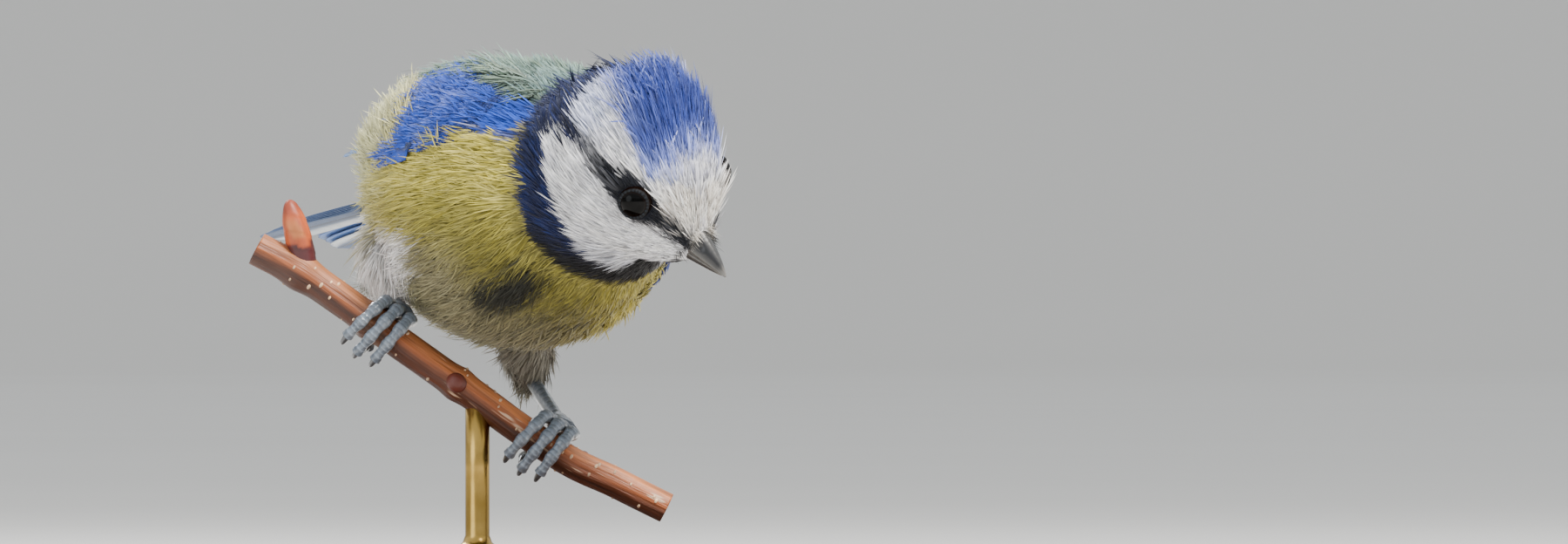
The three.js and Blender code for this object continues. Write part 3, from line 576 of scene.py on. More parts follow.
def wing_cover(p):
    """1 where the folded wing lies over the body, falling to 0 about a millimetre outside its edge."""
    t = TRUNK.into(p)
    row = row_for_x(TRUNK_ROWS, t[:, 0])
    angle = np.degrees(np.arctan2((t[:, 2] - row[:, 1]) / row[:, 3], np.abs(t[:, 1]) / row[:, 2]))
    u = (14.2 - t[:, 0]) / 64
    full = np.sin(math.pi * np.clip(0.08 + u * 1.4, 0, 1) * 0.5) ** 0.7
    low, high = 8 - 31 * full + 8 * u, 24 + 30 * full - 4 * u
    inside = np.minimum(angle - low, high - angle)
    return smooth(-2, 4, inside) * smooth(-0.01, 0.02, u)


def sample(density):
    """Root points over the skin, so many to a square millimetre, with the skin's normal at each."""
    a, b, c = (skin_at[skin_tris[:, i]] for i in range(3))
    area = np.linalg.norm(np.cross(b - a, c - a), axis=1) / 2
    n = np.floor(area * density((a + b + c) / 3) + rng.random(len(a))).astype(int)
    pick = np.repeat(np.arange(len(a)), n)
    r1, r2 = rng.random(len(pick)), rng.random(len(pick))
    flip = r1 + r2 > 1
    r1, r2 = np.where(flip, 1 - r1, r1), np.where(flip, 1 - r2, r2)
    w = np.stack([1 - r1 - r2, r1, r2], -1)[:, :, None]
    corners = skin_tris[pick]
    return (skin_at[corners] * w).sum(1), unit((skin_normal[corners] * w).sum(1))


def lie(p, n):
    """The way the feathers point: away from the bill on the head, towards the tail on the body."""
    head = unit(p - HEAD.out((13.5, 0, -3.2)))
    head = head + 0.25 * HEAD.way((0, 0, 0.4))
    trunk = np.broadcast_to(TRUNK.way((-1, 0, -0.12)), p.shape)
    thigh = np.zeros_like(p)
    share = thigh_white(p)
    for leg in LEGS.values():
        a, b = thigh_ends(leg)
        near = smooth(9, 6, np.linalg.norm(p - (a + b) / 2, axis=1))
        thigh += near[:, None] * unit(b - a)
    w = smooth(-7, -1.5, head_share(p))
    way = blend(trunk, head, w)
    way = blend(way, thigh + np.array([0, -0.3, -0.9]), 0.9 * share)
    loose = (1 - w)[:, None] * 0.24
    way = way + 0.12 * np.stack([ripple(p, 0.35, k) for k in (21, 22, 23)], -1)
    way = way + loose * np.stack([ripple(p, 1.1, k) for k in (24, 25, 26)], -1)
    return unit(flat_on(way, n))


def eye_place(hand):
    """The middle of an eye's ball, and the way the eye looks."""
    side = np.array((1, hand, 1))
    return HEAD.out(side * EYE["at"]), unit(HEAD.way(side * EYE["way"]))


def clear_of_eyes(root, tip):
    ok = np.ones(len(root), bool)
    for hand in (1, -1):
        at, way = eye_place(hand)
        for p in (root, (root + tip) / 2, tip):
            d = p - at
            off = np.linalg.norm(d - np.outer(d @ way, way), axis=1)
            ok &= ~((off < 1.95) & (d @ way > -1))
    return ok


def clear_of_bill(root):
    h = HEAD.into(root)
    return ~((h[:, 0] > 10.6) & (np.hypot(h[:, 1] / 2.2, (h[:, 2] - BILL["level"]) / 2.4) < 1))


def root_uv(p):
    """Each root's place on an unwrap of the body by its length and the angle round it."""
    t = TRUNK.into(p)
    h = HEAD.into(p)
    on_head = head_share(p) > -2
    u = np.where(on_head, np.arctan2(h[:, 1], h[:, 2]), np.arctan2(t[:, 1], t[:, 2])) / (2 * math.pi) + 0.5
    v = np.where(on_head, 0.55 + 0.43 * np.clip((h[:, 0] + 14) / 28, 0, 1),
                 0.02 + 0.5 * np.clip((t[:, 0] + 32) / 62, 0, 1))
    return np.stack([0.01 + 0.98 * u, v], -1)


PROFILE = np.array([0.75, 1.0, 0.7])  # a blade's width at its first three stations
ROOT_TONE, TIP_TONE = 0.42, 1.08


def blades(root, normal, way, length, width, lift, curl, bend, colour):
    """Narrow pointed blades that leave the skin along way; arrays hold one value to a blade."""
    n = len(root)
    side = unit(np.cross(way, normal))
    roll = rng.normal(0, 0.45, n)[:, None]
    side = side * np.cos(roll) + normal * np.sin(roll)
    rise = way * np.cos(lift)[:, None] + normal * np.sin(lift)[:, None]
    verts = np.empty((n, 7, 3))
    tints = np.empty((n, 7, 3))
    uv = np.empty((n, 7, 2))
    place_uv = root_uv(root)
    for k, t in enumerate((0.0, 0.36, 0.7, 1.0)):
        run = (length * t)[:, None]
        p = root + rise * run + normal * (curl[:, None] * run * t)
        p = p - normal * (run * run / (2 * bend[:, None]))
        shade = ROOT_TONE + (TIP_TONE - ROOT_TONE) * min(1.0, t * 1.3)
        if k < 3:
            off = side * (width * PROFILE[k] / 2)[:, None]
            verts[:, 2 * k], verts[:, 2 * k + 1] = p - off, p + off
            tints[:, 2 * k] = tints[:, 2 * k + 1] = colour * shade
            uv[:, 2 * k], uv[:, 2 * k + 1] = place_uv + (0, 0.003 * t), place_uv + (0.002, 0.003 * t)
        else:
            verts[:, 6], tints[:, 6], uv[:, 6] = p, colour * TIP_TONE, place_uv + (0.001, 0.003)
    base = np.arange(n)[:, None] * 7
    quads = np.concatenate([base + (0, 1, 3, 2), base + (2, 3, 5, 4)])
    return (verts.reshape(-1, 3), quads, base + (4, 5, 6)), tints.reshape(-1, 3), uv.reshape(-1, 2)


RAGGED = 0.22  # how much the blades of a tuft differ in length


def fan(name, slot, root, normal, way, length, width, lift, curl, bend, colour, per, splay):
    """A piece of tufts with several blades each, spread about the way they lie; sizes may be one number."""
    n = len(root)
    keep = lambda a: np.repeat(np.broadcast_to(a, n) if np.ndim(a) == 0 else a, per, axis=0)
    k = np.tile(np.linspace(-1, 1, per), n) + rng.normal(0, 0.25, n * per)
    normal_k, way_k = keep(normal), keep(way)
    side = np.cross(normal_k, way_k)
    angle = (k * keep(splay))[:, None]
    turned = unit(way_k * np.cos(angle) + side * np.sin(angle))
    start = keep(root) + side * (k * keep(width) * 0.9)[:, None]
    long = keep(length) * (1 - 0.25 * k * k) * (1 + RAGGED * rng.normal(0, 1, n * per)).clip(0.5, 1.6)
    tone = (1 + 0.14 * rng.normal(0, 1, n * per)).clip(0.6, 1.5)[:, None]
    raised = keep(lift) + 0.06 * rng.normal(0, 1, n * per)
    body, tint, uv = blades(start, normal_k, turned, long, keep(width), raised, keep(curl), keep(bend),
                            np.clip(keep(colour) * tone, 0, 1))
    mesh_piece(name, body, COAT, tint, uv)


MOST_TRIANGLES, BLADE_TRIANGLES = 190000, 5


def coat(name, slot, density, build):
    """One coat, cut into pieces small enough to keep; build gives the tufts' sizes from their roots."""
    root, normal = sample(density)
    way = lie(root, normal)
    size = build(root)
    tip = root + way * size["length"][:, None]
    ok = clear_of_eyes(root, tip) & clear_of_bill(root)
    colour = coat_colour(root + way * (size["length"] * 0.75)[:, None])
    tone = (1 + 0.13 * rng.normal(0, 1, len(root)) + 0.10 * ripple(root, 1.6, 31)).clip(0.6, 1.4)[:, None]
    sizes = (size[key] for key in ("length", "width", "lift", "curl", "bend"))
    parts = [a[ok] for a in (root, normal, way, *sizes, colour * tone)]
    per, splay = size["per"], size["splay"][ok]
    step = MOST_TRIANGLES // (per * BLADE_TRIANGLES)
    order = np.argsort(TRUNK.into(parts[0])[:, 0])
    for i, start in enumerate(range(0, len(order), step)):
        pick = order[start:start + step]
        fan(f"{name}_{i + 1}", slot, *(a[pick] for a in parts), per, splay[pick])


quick = 1.0


def on_head(p):
    return smooth(-7.5, -5.5, head_share(p))


def head_sizes(root):
    h = HEAD.into(root)
    face = smooth(4, 9.5, h[:, 0])
    crown = smooth(2, 5, h[:, 2]) * smooth(7.5, 4.5, np.abs(h[:, 1]))
    crown = crown * smooth(8, 3, h[:, 0]) * smooth(-4.5, -1, h[:, 0])
    length = 2.3 - 1.1 * face + 2.2 * crown
    near = np.linalg.norm(np.stack([h[:, 0], np.abs(h[:, 1]), h[:, 2]], -1) - np.array(EYE["at"]), axis=1)
    length = length * (0.55 + 0.45 * smooth(2.6, 4.6, near))
    length = length * (1 + 0.15 * rng.normal(0, 1, len(root)))
    return dict(length=length, width=0.13 - 0.03 * crown, lift=0.15 + 0.42 * crown + 0.05 * face,
                curl=0.02 + 0 * length, bend=11 + 14 * crown, splay=0.16 + 0 * length, per=4)


def body_sizes(root):
    t = TRUNK.into(root)
    back = smooth(-2, 1, t[:, 2])
    flank = smooth(0, -5, t[:, 2]) * smooth(16, 8, t[:, 0])
    under = smooth(-6, -12, t[:, 0]) * smooth(0, -5, t[:, 2])
    edge = wing_cover(root)
    white = thigh_white(root)
    length = 3.7 + 1.3 * flank - 0.5 * back - 1.0 * white - 2.0 * under * (1 - white)
    length = length - 1.0 * white * smooth(-2, 1, root[:, 0])
    length = length * (1 + 0.2 * rng.normal(0, 1, len(root)))
    nape = back * smooth(-6, 0, t[:, 0]) * smooth(13, 8, t[:, 0])
    belly = smooth(-6, -11, t[:, 2])
    breast = smooth(8, 14, t[:, 0]) * smooth(-3, 3, t[:, 1]) * (1 - back)
    length = length - 0.6 * breast
    lift = 0.26 + 0.14 * flank + 0.06 * back + 0.22 * edge * (1 - back) - 0.24 * under - 0.14 * belly
    lift = lift - 0.2 * breast + 0.2 * nape
    curl = 0.03 + 0.05 * flank * rng.normal(0, 1, len(root))
    return dict(length=length, width=0.17 + 0.05 * back, lift=lift, curl=curl,
                bend=15 + 10 * back, splay=0.30 - 0.08 * back, per=6)


coat("coat_head", "plumage_head", lambda p: 11 * quick * on_head(p), head_sizes)
coat("coat_body", "plumage_body",
     lambda p: 4.4 * quick * (1 - 0.9 * on_head(p)) * (1 - 0.97 * wing_cover(p)), body_sizes)

# Vaned feathers of wings, tail and crest.


ARCH = 0.08  # how far a vane curves down at its edges, as a share of its half width


def vane(line, over, width, thick, along, across):
    """A thin closed blade with a raised shaft; returns its body and each point's place (u, s) on it."""
    u = np.linspace(0, 1, along)
    p = line(u)
    way = unit(np.gradient(p, axis=0))
    up = over(u)
    side = unit(np.cross(up, way))
    up = np.cross(way, side)
    s = np.linspace(-1, 1, across)
    w = width(u)[:, None] / 2
    edge = s[None, :] * w
    shaft = 0.10 * np.exp(-(s / 0.13) ** 2)[None, :] * (1 - 0.6 * u)[:, None]
    height = -ARCH * w * s[None, :] ** 2 + shaft
    top = p[:, None, :] + side[:, None, :] * edge[..., None] + up[:, None, :] * height[..., None]
    low = top - up[:, None, :] * (thick * (1 - 0.4 * np.abs(s)))[None, :, None]
    verts, quads, tris = capped(np.concatenate([top, low[:, ::-1]], axis=1))
    us = np.stack(np.broadcast_arrays(u[:, None], np.concatenate([s, s[::-1]])[None, :]), -1)
    return (verts, quads, tris), np.vstack([us.reshape(-1, 2), (0, 0), (1, 0)])


class Vanes:
    """Gathers many vanes into one piece."""

    GRID = 20  # vanes to a row of the unwrap

    def __init__(self):
        self.bodies, self.tints, self.grain, self.uv = [], [], [], []

    def add(self, shape, length, half, colour, spot):
        body, us = shape
        u, s = us.T
        self.bodies.append(body)
        self.tints.append(np.clip(colour(u, s), 0, 1))
        lean = u * length / 10 - np.abs(s) * half / 10
        self.grain.append(np.stack([lean, s * half / 10, np.full(len(u), spot)], -1))
        row, column = divmod(len(self.bodies) - 1, self.GRID)
        self.uv.append(np.stack([column + 0.1 + 0.8 * u, row + 0.5 + 0.4 * s], -1) / self.GRID)

    def make(self, name, slot, *nodes):
        tint, uv, grain = (np.vstack(rows) for rows in (self.tints, self.uv, self.grain))
        piece = mesh_piece(name, join_bodies(self.bodies), VANE, tint, uv, grain)
        if nodes:
            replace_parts(piece, *nodes)


def flight_colour(dark, edge, tip, edge_from=0.35, tip_from=0.9, out=1):
    """Dark inner vane, bright outer edge and a pale tip, with faint cross bars."""
    def colour(u, s):
        s = s * out
        outer = 0.9 * smooth(edge_from, edge_from + 0.3, s) + 0.12 * smooth(-0.2, 0.3, s)
        base = blend(INK[dark] * (0.85 + 0.25 * u[:, None]), edge, outer)
        base = base * (1 + 0.08 * np.sin(u * 95 + 14 * s) * np.cos(s * 5))[:, None]
        base = blend(base, base * 0.45, np.exp(-(s / 0.07) ** 2))
        return blend(base, tip, smooth(tip_from, 0.99, u + 0.03 * np.abs(s)))
    return colour


# Tiers of the folded wing from the body outwards. Each has its count of feathers and, from its first feather
# to its last, the x and angle of the root (x0, a0) and of the tip (x1, a1), the width and the height.
TIERS = [
    dict(n=9, x0=(-6, -4), a0=(2, 2), x1=(-46, -32), a1=(24, 2), width=(3.4, 4.0), lift=(-0.85, -0.4),
         rise=0.2, ink=("flight", "flight_edge", "flight_edge"), edge=0.55),
    dict(n=6, x0=(-4, -5), a0=(-2, 27), x1=(-27, -22), a1=(0, 24), width=(4.4, 5.0), lift=(-0.5, -0.2),
         rise=0.15, ink=("flight", "wing", "flight_edge"), edge=0.2),
    dict(n=3, x0=(-5, -7), a0=(28, 40), x1=(-24, -18), a1=(26, 42), width=(5.2, 5.4), lift=(-0.1, 0.15),
         rise=0.1, ink=("flight", "mantle", "tip"), edge=0.1, tip=0.88),
    dict(n=8, x0=(0, -3), a0=(-12, 38), x1=(-8, -9), a1=(-12, 36), width=(3.7, 3.9), lift=(-0.1, 0.15),
         rise=0.15, ink=("wing_dark", "wing", "tip"), edge=-0.1, tip=0.86, blunt=1),
    dict(n=8, x0=(5, 2), a0=(-10, 40), x1=(-0.5, -3), a1=(-10, 38), width=(3.4, 3.6), lift=(0.15, 0.4),
         rise=0.15, ink=("wing_dark", "wing", "wing"), edge=-0.3, blunt=1),
]


VANE_THICK = 0.16


def wing(hand, name):
    vanes = Vanes()
    for index, tier in enumerate(TIERS):
        for k in range(tier["n"]):
            t = k / (tier["n"] - 1)
            spans = (tier[key] for key in ("x0", "a0", "x1", "a1", "width", "lift"))
            x0, a0, x1, a1, wide, lift = (between(span, t) for span in spans)
            x1 += rng.normal(0, 0.25)
            a1 += rng.normal(0, 0.5)

            def line(u, d=0.0):
                x, angle = between((x0, x1), u), between((a0, a1), u)
                return wing_point(hand, x, angle, lift + tier["rise"] * u + d)

            def width(u):
                narrow, cut = (0.5, 0.42) if tier.get("blunt") else (0.8, 0.1)
                outline = 0.6 + 0.9 * u - 0.45 * u * u - narrow * u ** 6 - cut * u ** 24
                return wide * np.maximum(outline, 0.05)

            steps = 20 if x0 - x1 > 12 else 12
            shape = vane(line, lambda u: unit(line(u) - line(u, -2.0)), width, VANE_THICK, steps, 9)
            look = flight_colour(*tier["ink"], tier["edge"], tier.get("tip", 0.97), -hand)
            vanes.add(shape, abs(x1 - x0), wide / 2, look, k + 13 * index)
    vanes.make(name, "flight_feathers", name.replace("_feathers", ""))


wing(1, "wing_left_feathers")
wing(-1, "wing_right_feathers")


def arm_pad(u, j):
    """Place and height on the pad of the wing's arm: u runs back from the bend, j up across it."""
    full = np.sqrt(np.maximum(0.03, np.sin(math.pi * np.minimum(1, 0.06 + u * 0.9))))
    low, high = 16 - 32 * full + 6 * u, 22 + 28 * full - 4 * u
    height = (0.4 + 0.9 * np.exp(-((u / 0.3) ** 2))) * full * np.sin(0.5 + (math.pi - 1) * j)
    return 13.2 - 34 * u + 0 * j, low + (high - low) * j, height


def rooted(hand, x, angle, lift, reach, climb, loose):
    """Roots beside the wing, the surface's normal there, and how the feathers lie on it."""
    root = wing_point(hand, x, angle, lift)
    normal = unit(root - wing_point(hand, x, angle, lift - 2))
    way = unit(wing_point(hand, x - reach, angle + climb, lift) - root)
    return root, normal, unit(flat_on(way, normal) + loose * rng.normal(0, 1, (len(x), 3)))


# The arm under the coverts, and short blue feathers that soften the bend of the wing.
for hand, name in ((1, "left"), (-1, "right")):
    x, angle, height = arm_pad(np.linspace(0, 1, 30)[:, None], np.linspace(0, 1, 15)[None, :])
    under = wing_point(hand, x, angle, -1.5 + 0 * x)[:, ::-1]
    body = capped(np.concatenate([wing_point(hand, x, angle, -1.0 + height), under], axis=1))
    shade = np.tile(INK["wing"] * 0.5, (len(body[0]), 1))
    mesh_piece(f"wing_{name}_arm", body, SKIN, shade)

    n = int(3000 * quick)
    u = rng.random(n) * 0.46
    x, angle, height = arm_pad(u, 0.02 + 0.96 * rng.random(n))
    root, normal, way = rooted(hand, x, angle, -0.95 + height + 0.55 * smooth(0.12, 0.35, u), 1, 0, 0.12)
    colour = blend("wing", "cap_pale", 0.2 * smooth(0.1, 0.9, ripple(root, 1.3, 8)))
    colour = blend(colour, "wing_dark", 0.8 * smooth(0.25, 0.8, ripple(root, 1.0, 9)))
    colour = blend(colour, "mantle", smooth(36, 44, angle))
    fan(f"wing_{name}_lesser", "flight_feathers", root, normal, way,
        2.3, 0.20, 0.22, 0.02, 14, colour, 6, 0.3)


def overlap(hand, name, count, x_span, angles, lift, climb, length, rise, colour_at, raised):
    """Body feathers rooted beside the wing that fall over its edge; raised widens the span of angles."""
    n = int(count * quick)
    x = between(x_span, rng.random(n))
    angle = between((angles[0], angles[1] + raised(x)), rng.random(n))
    root, normal, way = rooted(hand, x, angle, lift(x, angle), 5, climb, 0.14)
    size = length * (1 + 0.2 * rng.normal(0, 1, n)).clip(0.5, 1.5)
    curl = 0.03 * rng.normal(0, 1, n)
    fan(name, "plumage_body", root, normal, way, size, 0.18, rise, curl, 13, colour_at(root, x), 6, 0.34)


def flank_ink(root, x):
    base = blend("yellow", "yellow_pale", np.clip(0.5 + 0.4 * ripple(root, 5.0, 5), 0, 1))
    return blend(base, "fluff", 0.9 * smooth(9, -4, x))


def scapular_ink(root, x):
    return blend("mantle", "mantle_green", np.clip(0.35 + 0.35 * ripple(root, 3.0, 4), 0, 1))


for hand, name in ((1, "left"), (-1, "right")):
    overlap(hand, f"flank_{name}", 4600, (14, -13), (-22, -5),
            lambda x, angle: -1.1 + 1.3 * smooth(-17, -10, angle) * smooth(6, 1, x), 13, 4.0, 0.09, flank_ink,
            lambda x: np.interp(x, [-12, -6, -2, 2, 6, 10], [33, 30, 22, 9, 4, 0]))
    overlap(hand, f"scapular_{name}", 2800, (17, -13), (56, 33),
            lambda x, angle: -0.9 + 0.9 * smooth(48, 41, angle), -5, 4.8, 0.12, scapular_ink, lambda x: 0 * x)

# Tail: twelve feathers on a root that turns back to level behind the rump, with coverts over and under.
TAIL = {"start": -27.6, "tip": -67.5, "width": 4.4, "step": 0.32, "droop": 0.08, "sway": 0.08, "untwist": 0.4}


def tail_point(x, y, z):
    behind = TAIL["start"] - x
    a = TAIL["untwist"] * np.clip(3 * behind / (TAIL["start"] - TAIL["tip"]), 0, 1)
    across = y * np.cos(a) - z * np.sin(a) + TAIL["sway"] * behind
    return TRUNK.out(np.stack([x, across, 2.4 + y * np.sin(a) + z * np.cos(a) - TAIL["droop"] * behind], -1))


def tail_feather(vanes, offset, spread, level, start, tip, wide, colour, spot):
    def line(u, d=0.0):
        x = start + (tip - start) * u
        y = offset + spread * u
        return tail_point(x, y, level - 0.1 * np.abs(y) + d)

    width = lambda u: wide * np.maximum(0.62 + 0.75 * u - 0.12 * u * u - 0.7 * u ** 9 - 0.5 * u ** 40, 0.05)
    steps = 26 if start - tip > 25 else 14
    shape = vane(line, lambda u: unit(line(u) - line(u, -1.0)), width, VANE_THICK, steps, 9)
    vanes.add(shape, start - tip, wide / 2, colour, spot)


tail = Vanes()
for i in range(5, -1, -1):
    for hand in (1, -1):
        outer = flight_colour("tail", "tip" if i == 5 else "tail_edge", "tail", 0.3, 0.98, hand)
        level = -TAIL["step"] * i - (0.12 if hand < 0 else 0)
        tip = TAIL["tip"] - (0.6 if i > 3 else 1.4) + 0.175 * (5 - i)
        tail_feather(tail, hand * (0.5 + 0.42 * i), hand * (0.35 + 0.34 * i), level,
                     TAIL["start"] - 2, tip, TAIL["width"], outer, i + 7 * hand)
for i in range(7):
    a = (i - 3) / 3
    tail_feather(tail, 3.2 * a, -0.9 * a, 1.3 - 1.2 * a * a, TAIL["start"] - 0.6, -41 + 2.6 * abs(a), 2.6,
                 flight_colour("mantle", "tail_edge", "mantle", 0.5, 0.98), 30 + i)
    tail_feather(tail, 3.2 * a, -1.0 * a, -3.3 + 1.2 * a * a, TAIL["start"] - 0.6, -45 + 3.2 * abs(a), 2.9,
                 flight_colour("tip", "belly", "tip", 0.5, 0.98), 40 + i)
tail.make("tail_feathers", "flight_feathers", "tail")
rump = np.array([[-25.0, 2.45, 6.0, 4.4, 4.9], [-30.0, 2.1, 4.7, 3.0, 3.7], [-34.5, 1.6, 3.2, 1.4, 2.2],
                 [-39.0, 1.0, 2.0, 0.5, 1.0]])
body = station_body(rump, 20, 32, TRUNK, 0)
mesh_piece("tail_root", body, SKIN, coat_colour(body[0]) * UNDER)

# Loose feathers over the tail's root.
n = int(1100 * quick)
row = row_at(rump, rng.random(n) * 2.4)
ang = rng.random(n) * 2 * math.pi
root = TRUNK.out(station(row, ang, 0.0))
normal = unit(root - TRUNK.out(station(row, ang, -1.0)))
way = unit(flat_on(np.broadcast_to(TRUNK.way((-1, 0, -0.1)), root.shape), normal))
above = smooth(-0.4, 0.2, np.sin(ang))
fan("tail_root_coat", "plumage_body", root, normal, way,
    2.0 + 2.4 * above, 0.24, 0.03 + 0.10 * above, 0.0, 30, blend("fluff", "rump", above), 6, 0.28)

# Crest feathers, one by one.
crest = Vanes()
for index in range(int(320 * quick)):
    x = 7.2 - 8.6 * rng.random() ** 0.9
    rear = np.clip((6.6 - x) / 7.35, 0, 1)
    half = np.interp(x, [-1.5, 1, 5, 7.2], [5.0, 5.8, 5.4, 3.8])
    y = half * (2 * rng.random() - 1) * 0.97
    angle = math.acos(np.clip(y / row_for_x(HEAD_ROWS, np.array(x))[2], -0.95, 0.95))
    long = (3.2 + 1.7 * rear) * (0.8 + 0.4 * rng.random())
    high = 1.0 + 1.4 * rear + 0.3 * rng.normal()
    swing = 0.12 * rng.normal()

    def line(u, d=0.0):
        xx = x - long * u
        base = row_for_x(HEAD_ROWS, np.maximum(xx, -10.5))
        base = np.concatenate([xx[:, None], base[:, 1:]], 1)
        return HEAD.out(station(base, angle + swing * u * u, -0.9 + u * (high + 0.8 * rear * u) + d))

    wide = 0.26 + 0.22 * rng.random()
    width = lambda u: wide * np.maximum(0.55 + 1.2 * u - 1.6 * u ** 3, 0.04)
    shape = vane(line, lambda u: unit(line(u) - line(u, -1.0)), width, 0.05, 9, 5)
    base = coat_colour(line(np.array([0.4])))[0] * (0.35 + 0.9 * rng.random())
    pale = 0.9 * rng.random() ** 3
    look = lambda u, s: blend(np.tile(base, (len(u), 1)) * (0.6 + 0.5 * u)[:, None], "cap_pale", pale * u)
    crest.add(shape, long, wide / 2, look, index)
crest.make("crest_feathers", "plumage_head")

# Eyes and bill.


def eye_material():
    n = Nodes("eye").set(Roughness=0.04, Specular_IOR_Level=0.12)
    n.tinted(n.spread(n.noise(4000), 0.8, 1.1))
    return n.mat


def lid_material():
    n = Nodes("eyelid").set(Roughness=0.6, Specular_IOR_Level=0.2)
    n.colour(n.attribute("tint"))
    n.bump(n.noise(9000), 0.5, 0.0001)
    return n.mat


EYE_LOOK, LID_LOOK = eye_material(), lid_material()


def axes_of(way):
    a = unit(np.cross((0, 0, 1), way))
    return a, np.cross(way, a)


for hand, name in ((1, "left"), (-1, "right")):
    at, way = eye_place(hand)
    a, b = axes_of(way)
    lat = np.linspace(0.02, math.pi - 0.02, 40)
    lon = circle(48)
    ring = np.cos(lon)[None, :, None] * a + np.sin(lon)[None, :, None] * b
    ball = capped(at + EYE["r"] * (np.cos(lat)[:, None, None] * way + np.sin(lat)[:, None, None] * ring))
    off = np.degrees(np.arccos(np.clip(unit(ball[0] - at) @ way, -1, 1)))
    tint = blend("#020202", "#120906", smooth(40, 46, off))
    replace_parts(mesh_piece(f"eye_{name}_ball", ball, EYE_LOOK, tint), f"eye_{name}")

    # Lid: a soft dark rim with a ring of tiny pale beads.
    count, sides = 96, 12
    lon, tube_angle = circle(count), circle(sides)
    out = np.cos(lon)[:, None] * a + np.sin(lon)[:, None] * b
    bead = 0.5 + 0.5 * np.cos(lon * 24 + 0.8 * np.sin(lon * 5))
    radius = (0.22 + 0.025 * bead + 0.03 * np.sin(lon * 3 + hand))[:, None]
    centre = at + way * 1.16 + out * 1.60
    rim = centre[:, None, :] + radius[..., None] * (np.cos(tube_angle)[None, :, None] * out[:, None, :]
                                                   + np.sin(tube_angle)[None, :, None] * way)
    k, last = np.arange(sides), (count - 1) * sides
    turned = (k + 1) % sides
    quads = np.vstack([ring_faces(count, sides), np.stack([last + k, last + turned, turned, k], -1)])
    face = np.clip(np.sin(tube_angle), 0, 1)[None, :] ** 2 * (bead ** 2)[:, None]
    tint = blend("#050506", "#3c4450", (0.35 * face).ravel())
    mesh_piece(f"eye_{name}_lid", (rim.reshape(-1, 3), quads), LID_LOOK, tint)


def horn_material(name, dark, pale, rough):
    n = Nodes(name).set(Roughness=rough, Coat_Weight=0.35, Coat_Roughness=0.2)
    streaks = n.noise(2400, 4, (1, 1, 0.4))
    n.tinted(n.spread(streaks, dark, pale))
    n.bump(streaks, 0.35, 0.0001)
    return n.mat


HORN = horn_material("bill_horn", 0.8, (1.15, 1.12, 1.08), 0.32)
CLAW = horn_material("claw_horn", 0.8, 1.2, 0.28)


def bill_half(upper):
    u = np.linspace(-0.12, 1, 48)
    angle = np.linspace(0, math.pi, 25)
    reach = BILL["tip"] if upper else BILL["tip"] - 0.5
    x = BILL["base"] + (reach - BILL["base"]) * u
    up = np.clip(u, 0, 1)
    half = 0.10 + (BILL["half"] - 0.1) * (1 - up) ** 0.85
    mouth = BILL["level"] - BILL["fall"] * up * up * (1 if upper else 0.8)
    high = 0.14 + ((BILL["rise"] if upper else BILL["drop"]) - 0.14) * (1 - up) ** 0.75
    sgn = 1 if upper else -1
    ridge = 1 + (0.07 if upper else 0.03) * np.exp(-((angle - math.pi / 2) / 0.3) ** 2)
    z = mouth[:, None] + sgn * (0.05 + (high[:, None] * ridge) * np.sin(angle) ** 0.9)
    y = half[:, None] * np.cos(angle)
    p = np.stack([np.broadcast_to(x[:, None], y.shape), y, z], -1)
    if upper:
        for side in (1, -1):
            pit = np.array([BILL["base"] + 1.9, 1.45 * side, BILL["level"] + 1.35])
            d = np.linalg.norm((p - pit) * (0.8, 1.0, 1.25), axis=-1)
            p[..., 1] -= side * 0.45 * np.exp(-((d / 0.42) ** 2))
    lip = np.exp(-(angle / 0.25) ** 2) + np.exp(-((angle - math.pi) / 0.25) ** 2)
    dark = hexed("#17181c") if upper else hexed("#1d1c1f")
    pale = smooth(0.75, 1.0, u)[:, None] * 0.5 + 0.45 * lip[None, :] * (u[:, None] > 0)
    pale = pale + 0.15 * np.exp(-((angle - math.pi / 2) / 0.35) ** 2)[None, :]
    tint = blend(dark, "#8b8a86", np.clip(pale, 0, 1))
    tint = blend(tint, "#5b2f22", smooth(0.25, -0.05, u)[:, None] * lip[None, :] * 0.8)
    return capped(HEAD.out(p)), np.vstack([tint.reshape(-1, 3), dark, dark])


for upper, name in ((True, "bill_upper"), (False, "bill_lower")):
    body, tint = bill_half(upper)
    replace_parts(mesh_piece(name + "_horn", body, HORN, tint), name)

# Bristles over the nostrils and round the gape.
n = 260
side = np.where(rng.random(n) < 0.5, 1, -1)
pick = rng.random(n)
x = BILL["base"] - 0.7 + 0.9 * rng.random(n)
z = BILL["level"] + 2.1 - 2.6 * pick ** 2 + 0.3 * rng.normal(0, 1, n)
root = HEAD.out(np.stack([x, side * (0.5 + 1.9 * pick), z], -1))
way = HEAD.way(np.stack([1.2 + 0 * pick, side * (0.25 + 0.3 * pick), 0.35 - 0.7 * pick], -1))
way = unit(way + 0.15 * rng.normal(0, 1, (n, 3)))
normal = unit(HEAD.way(np.stack([0 * pick, side * (0.3 + pick), 1 - pick], -1)))
colour = blend("#d8d2c8", "#1c1c20", smooth(0.25, 0.6, pick))
fan("bristles", "plumage_head", root, unit(flat_on(normal, way)), way,
    1.5 + 0.9 * rng.random(n), 0.07, 0.12, 0, 9, colour, 2, 0.15)

# The twig with its bark, corky bumps and buds.


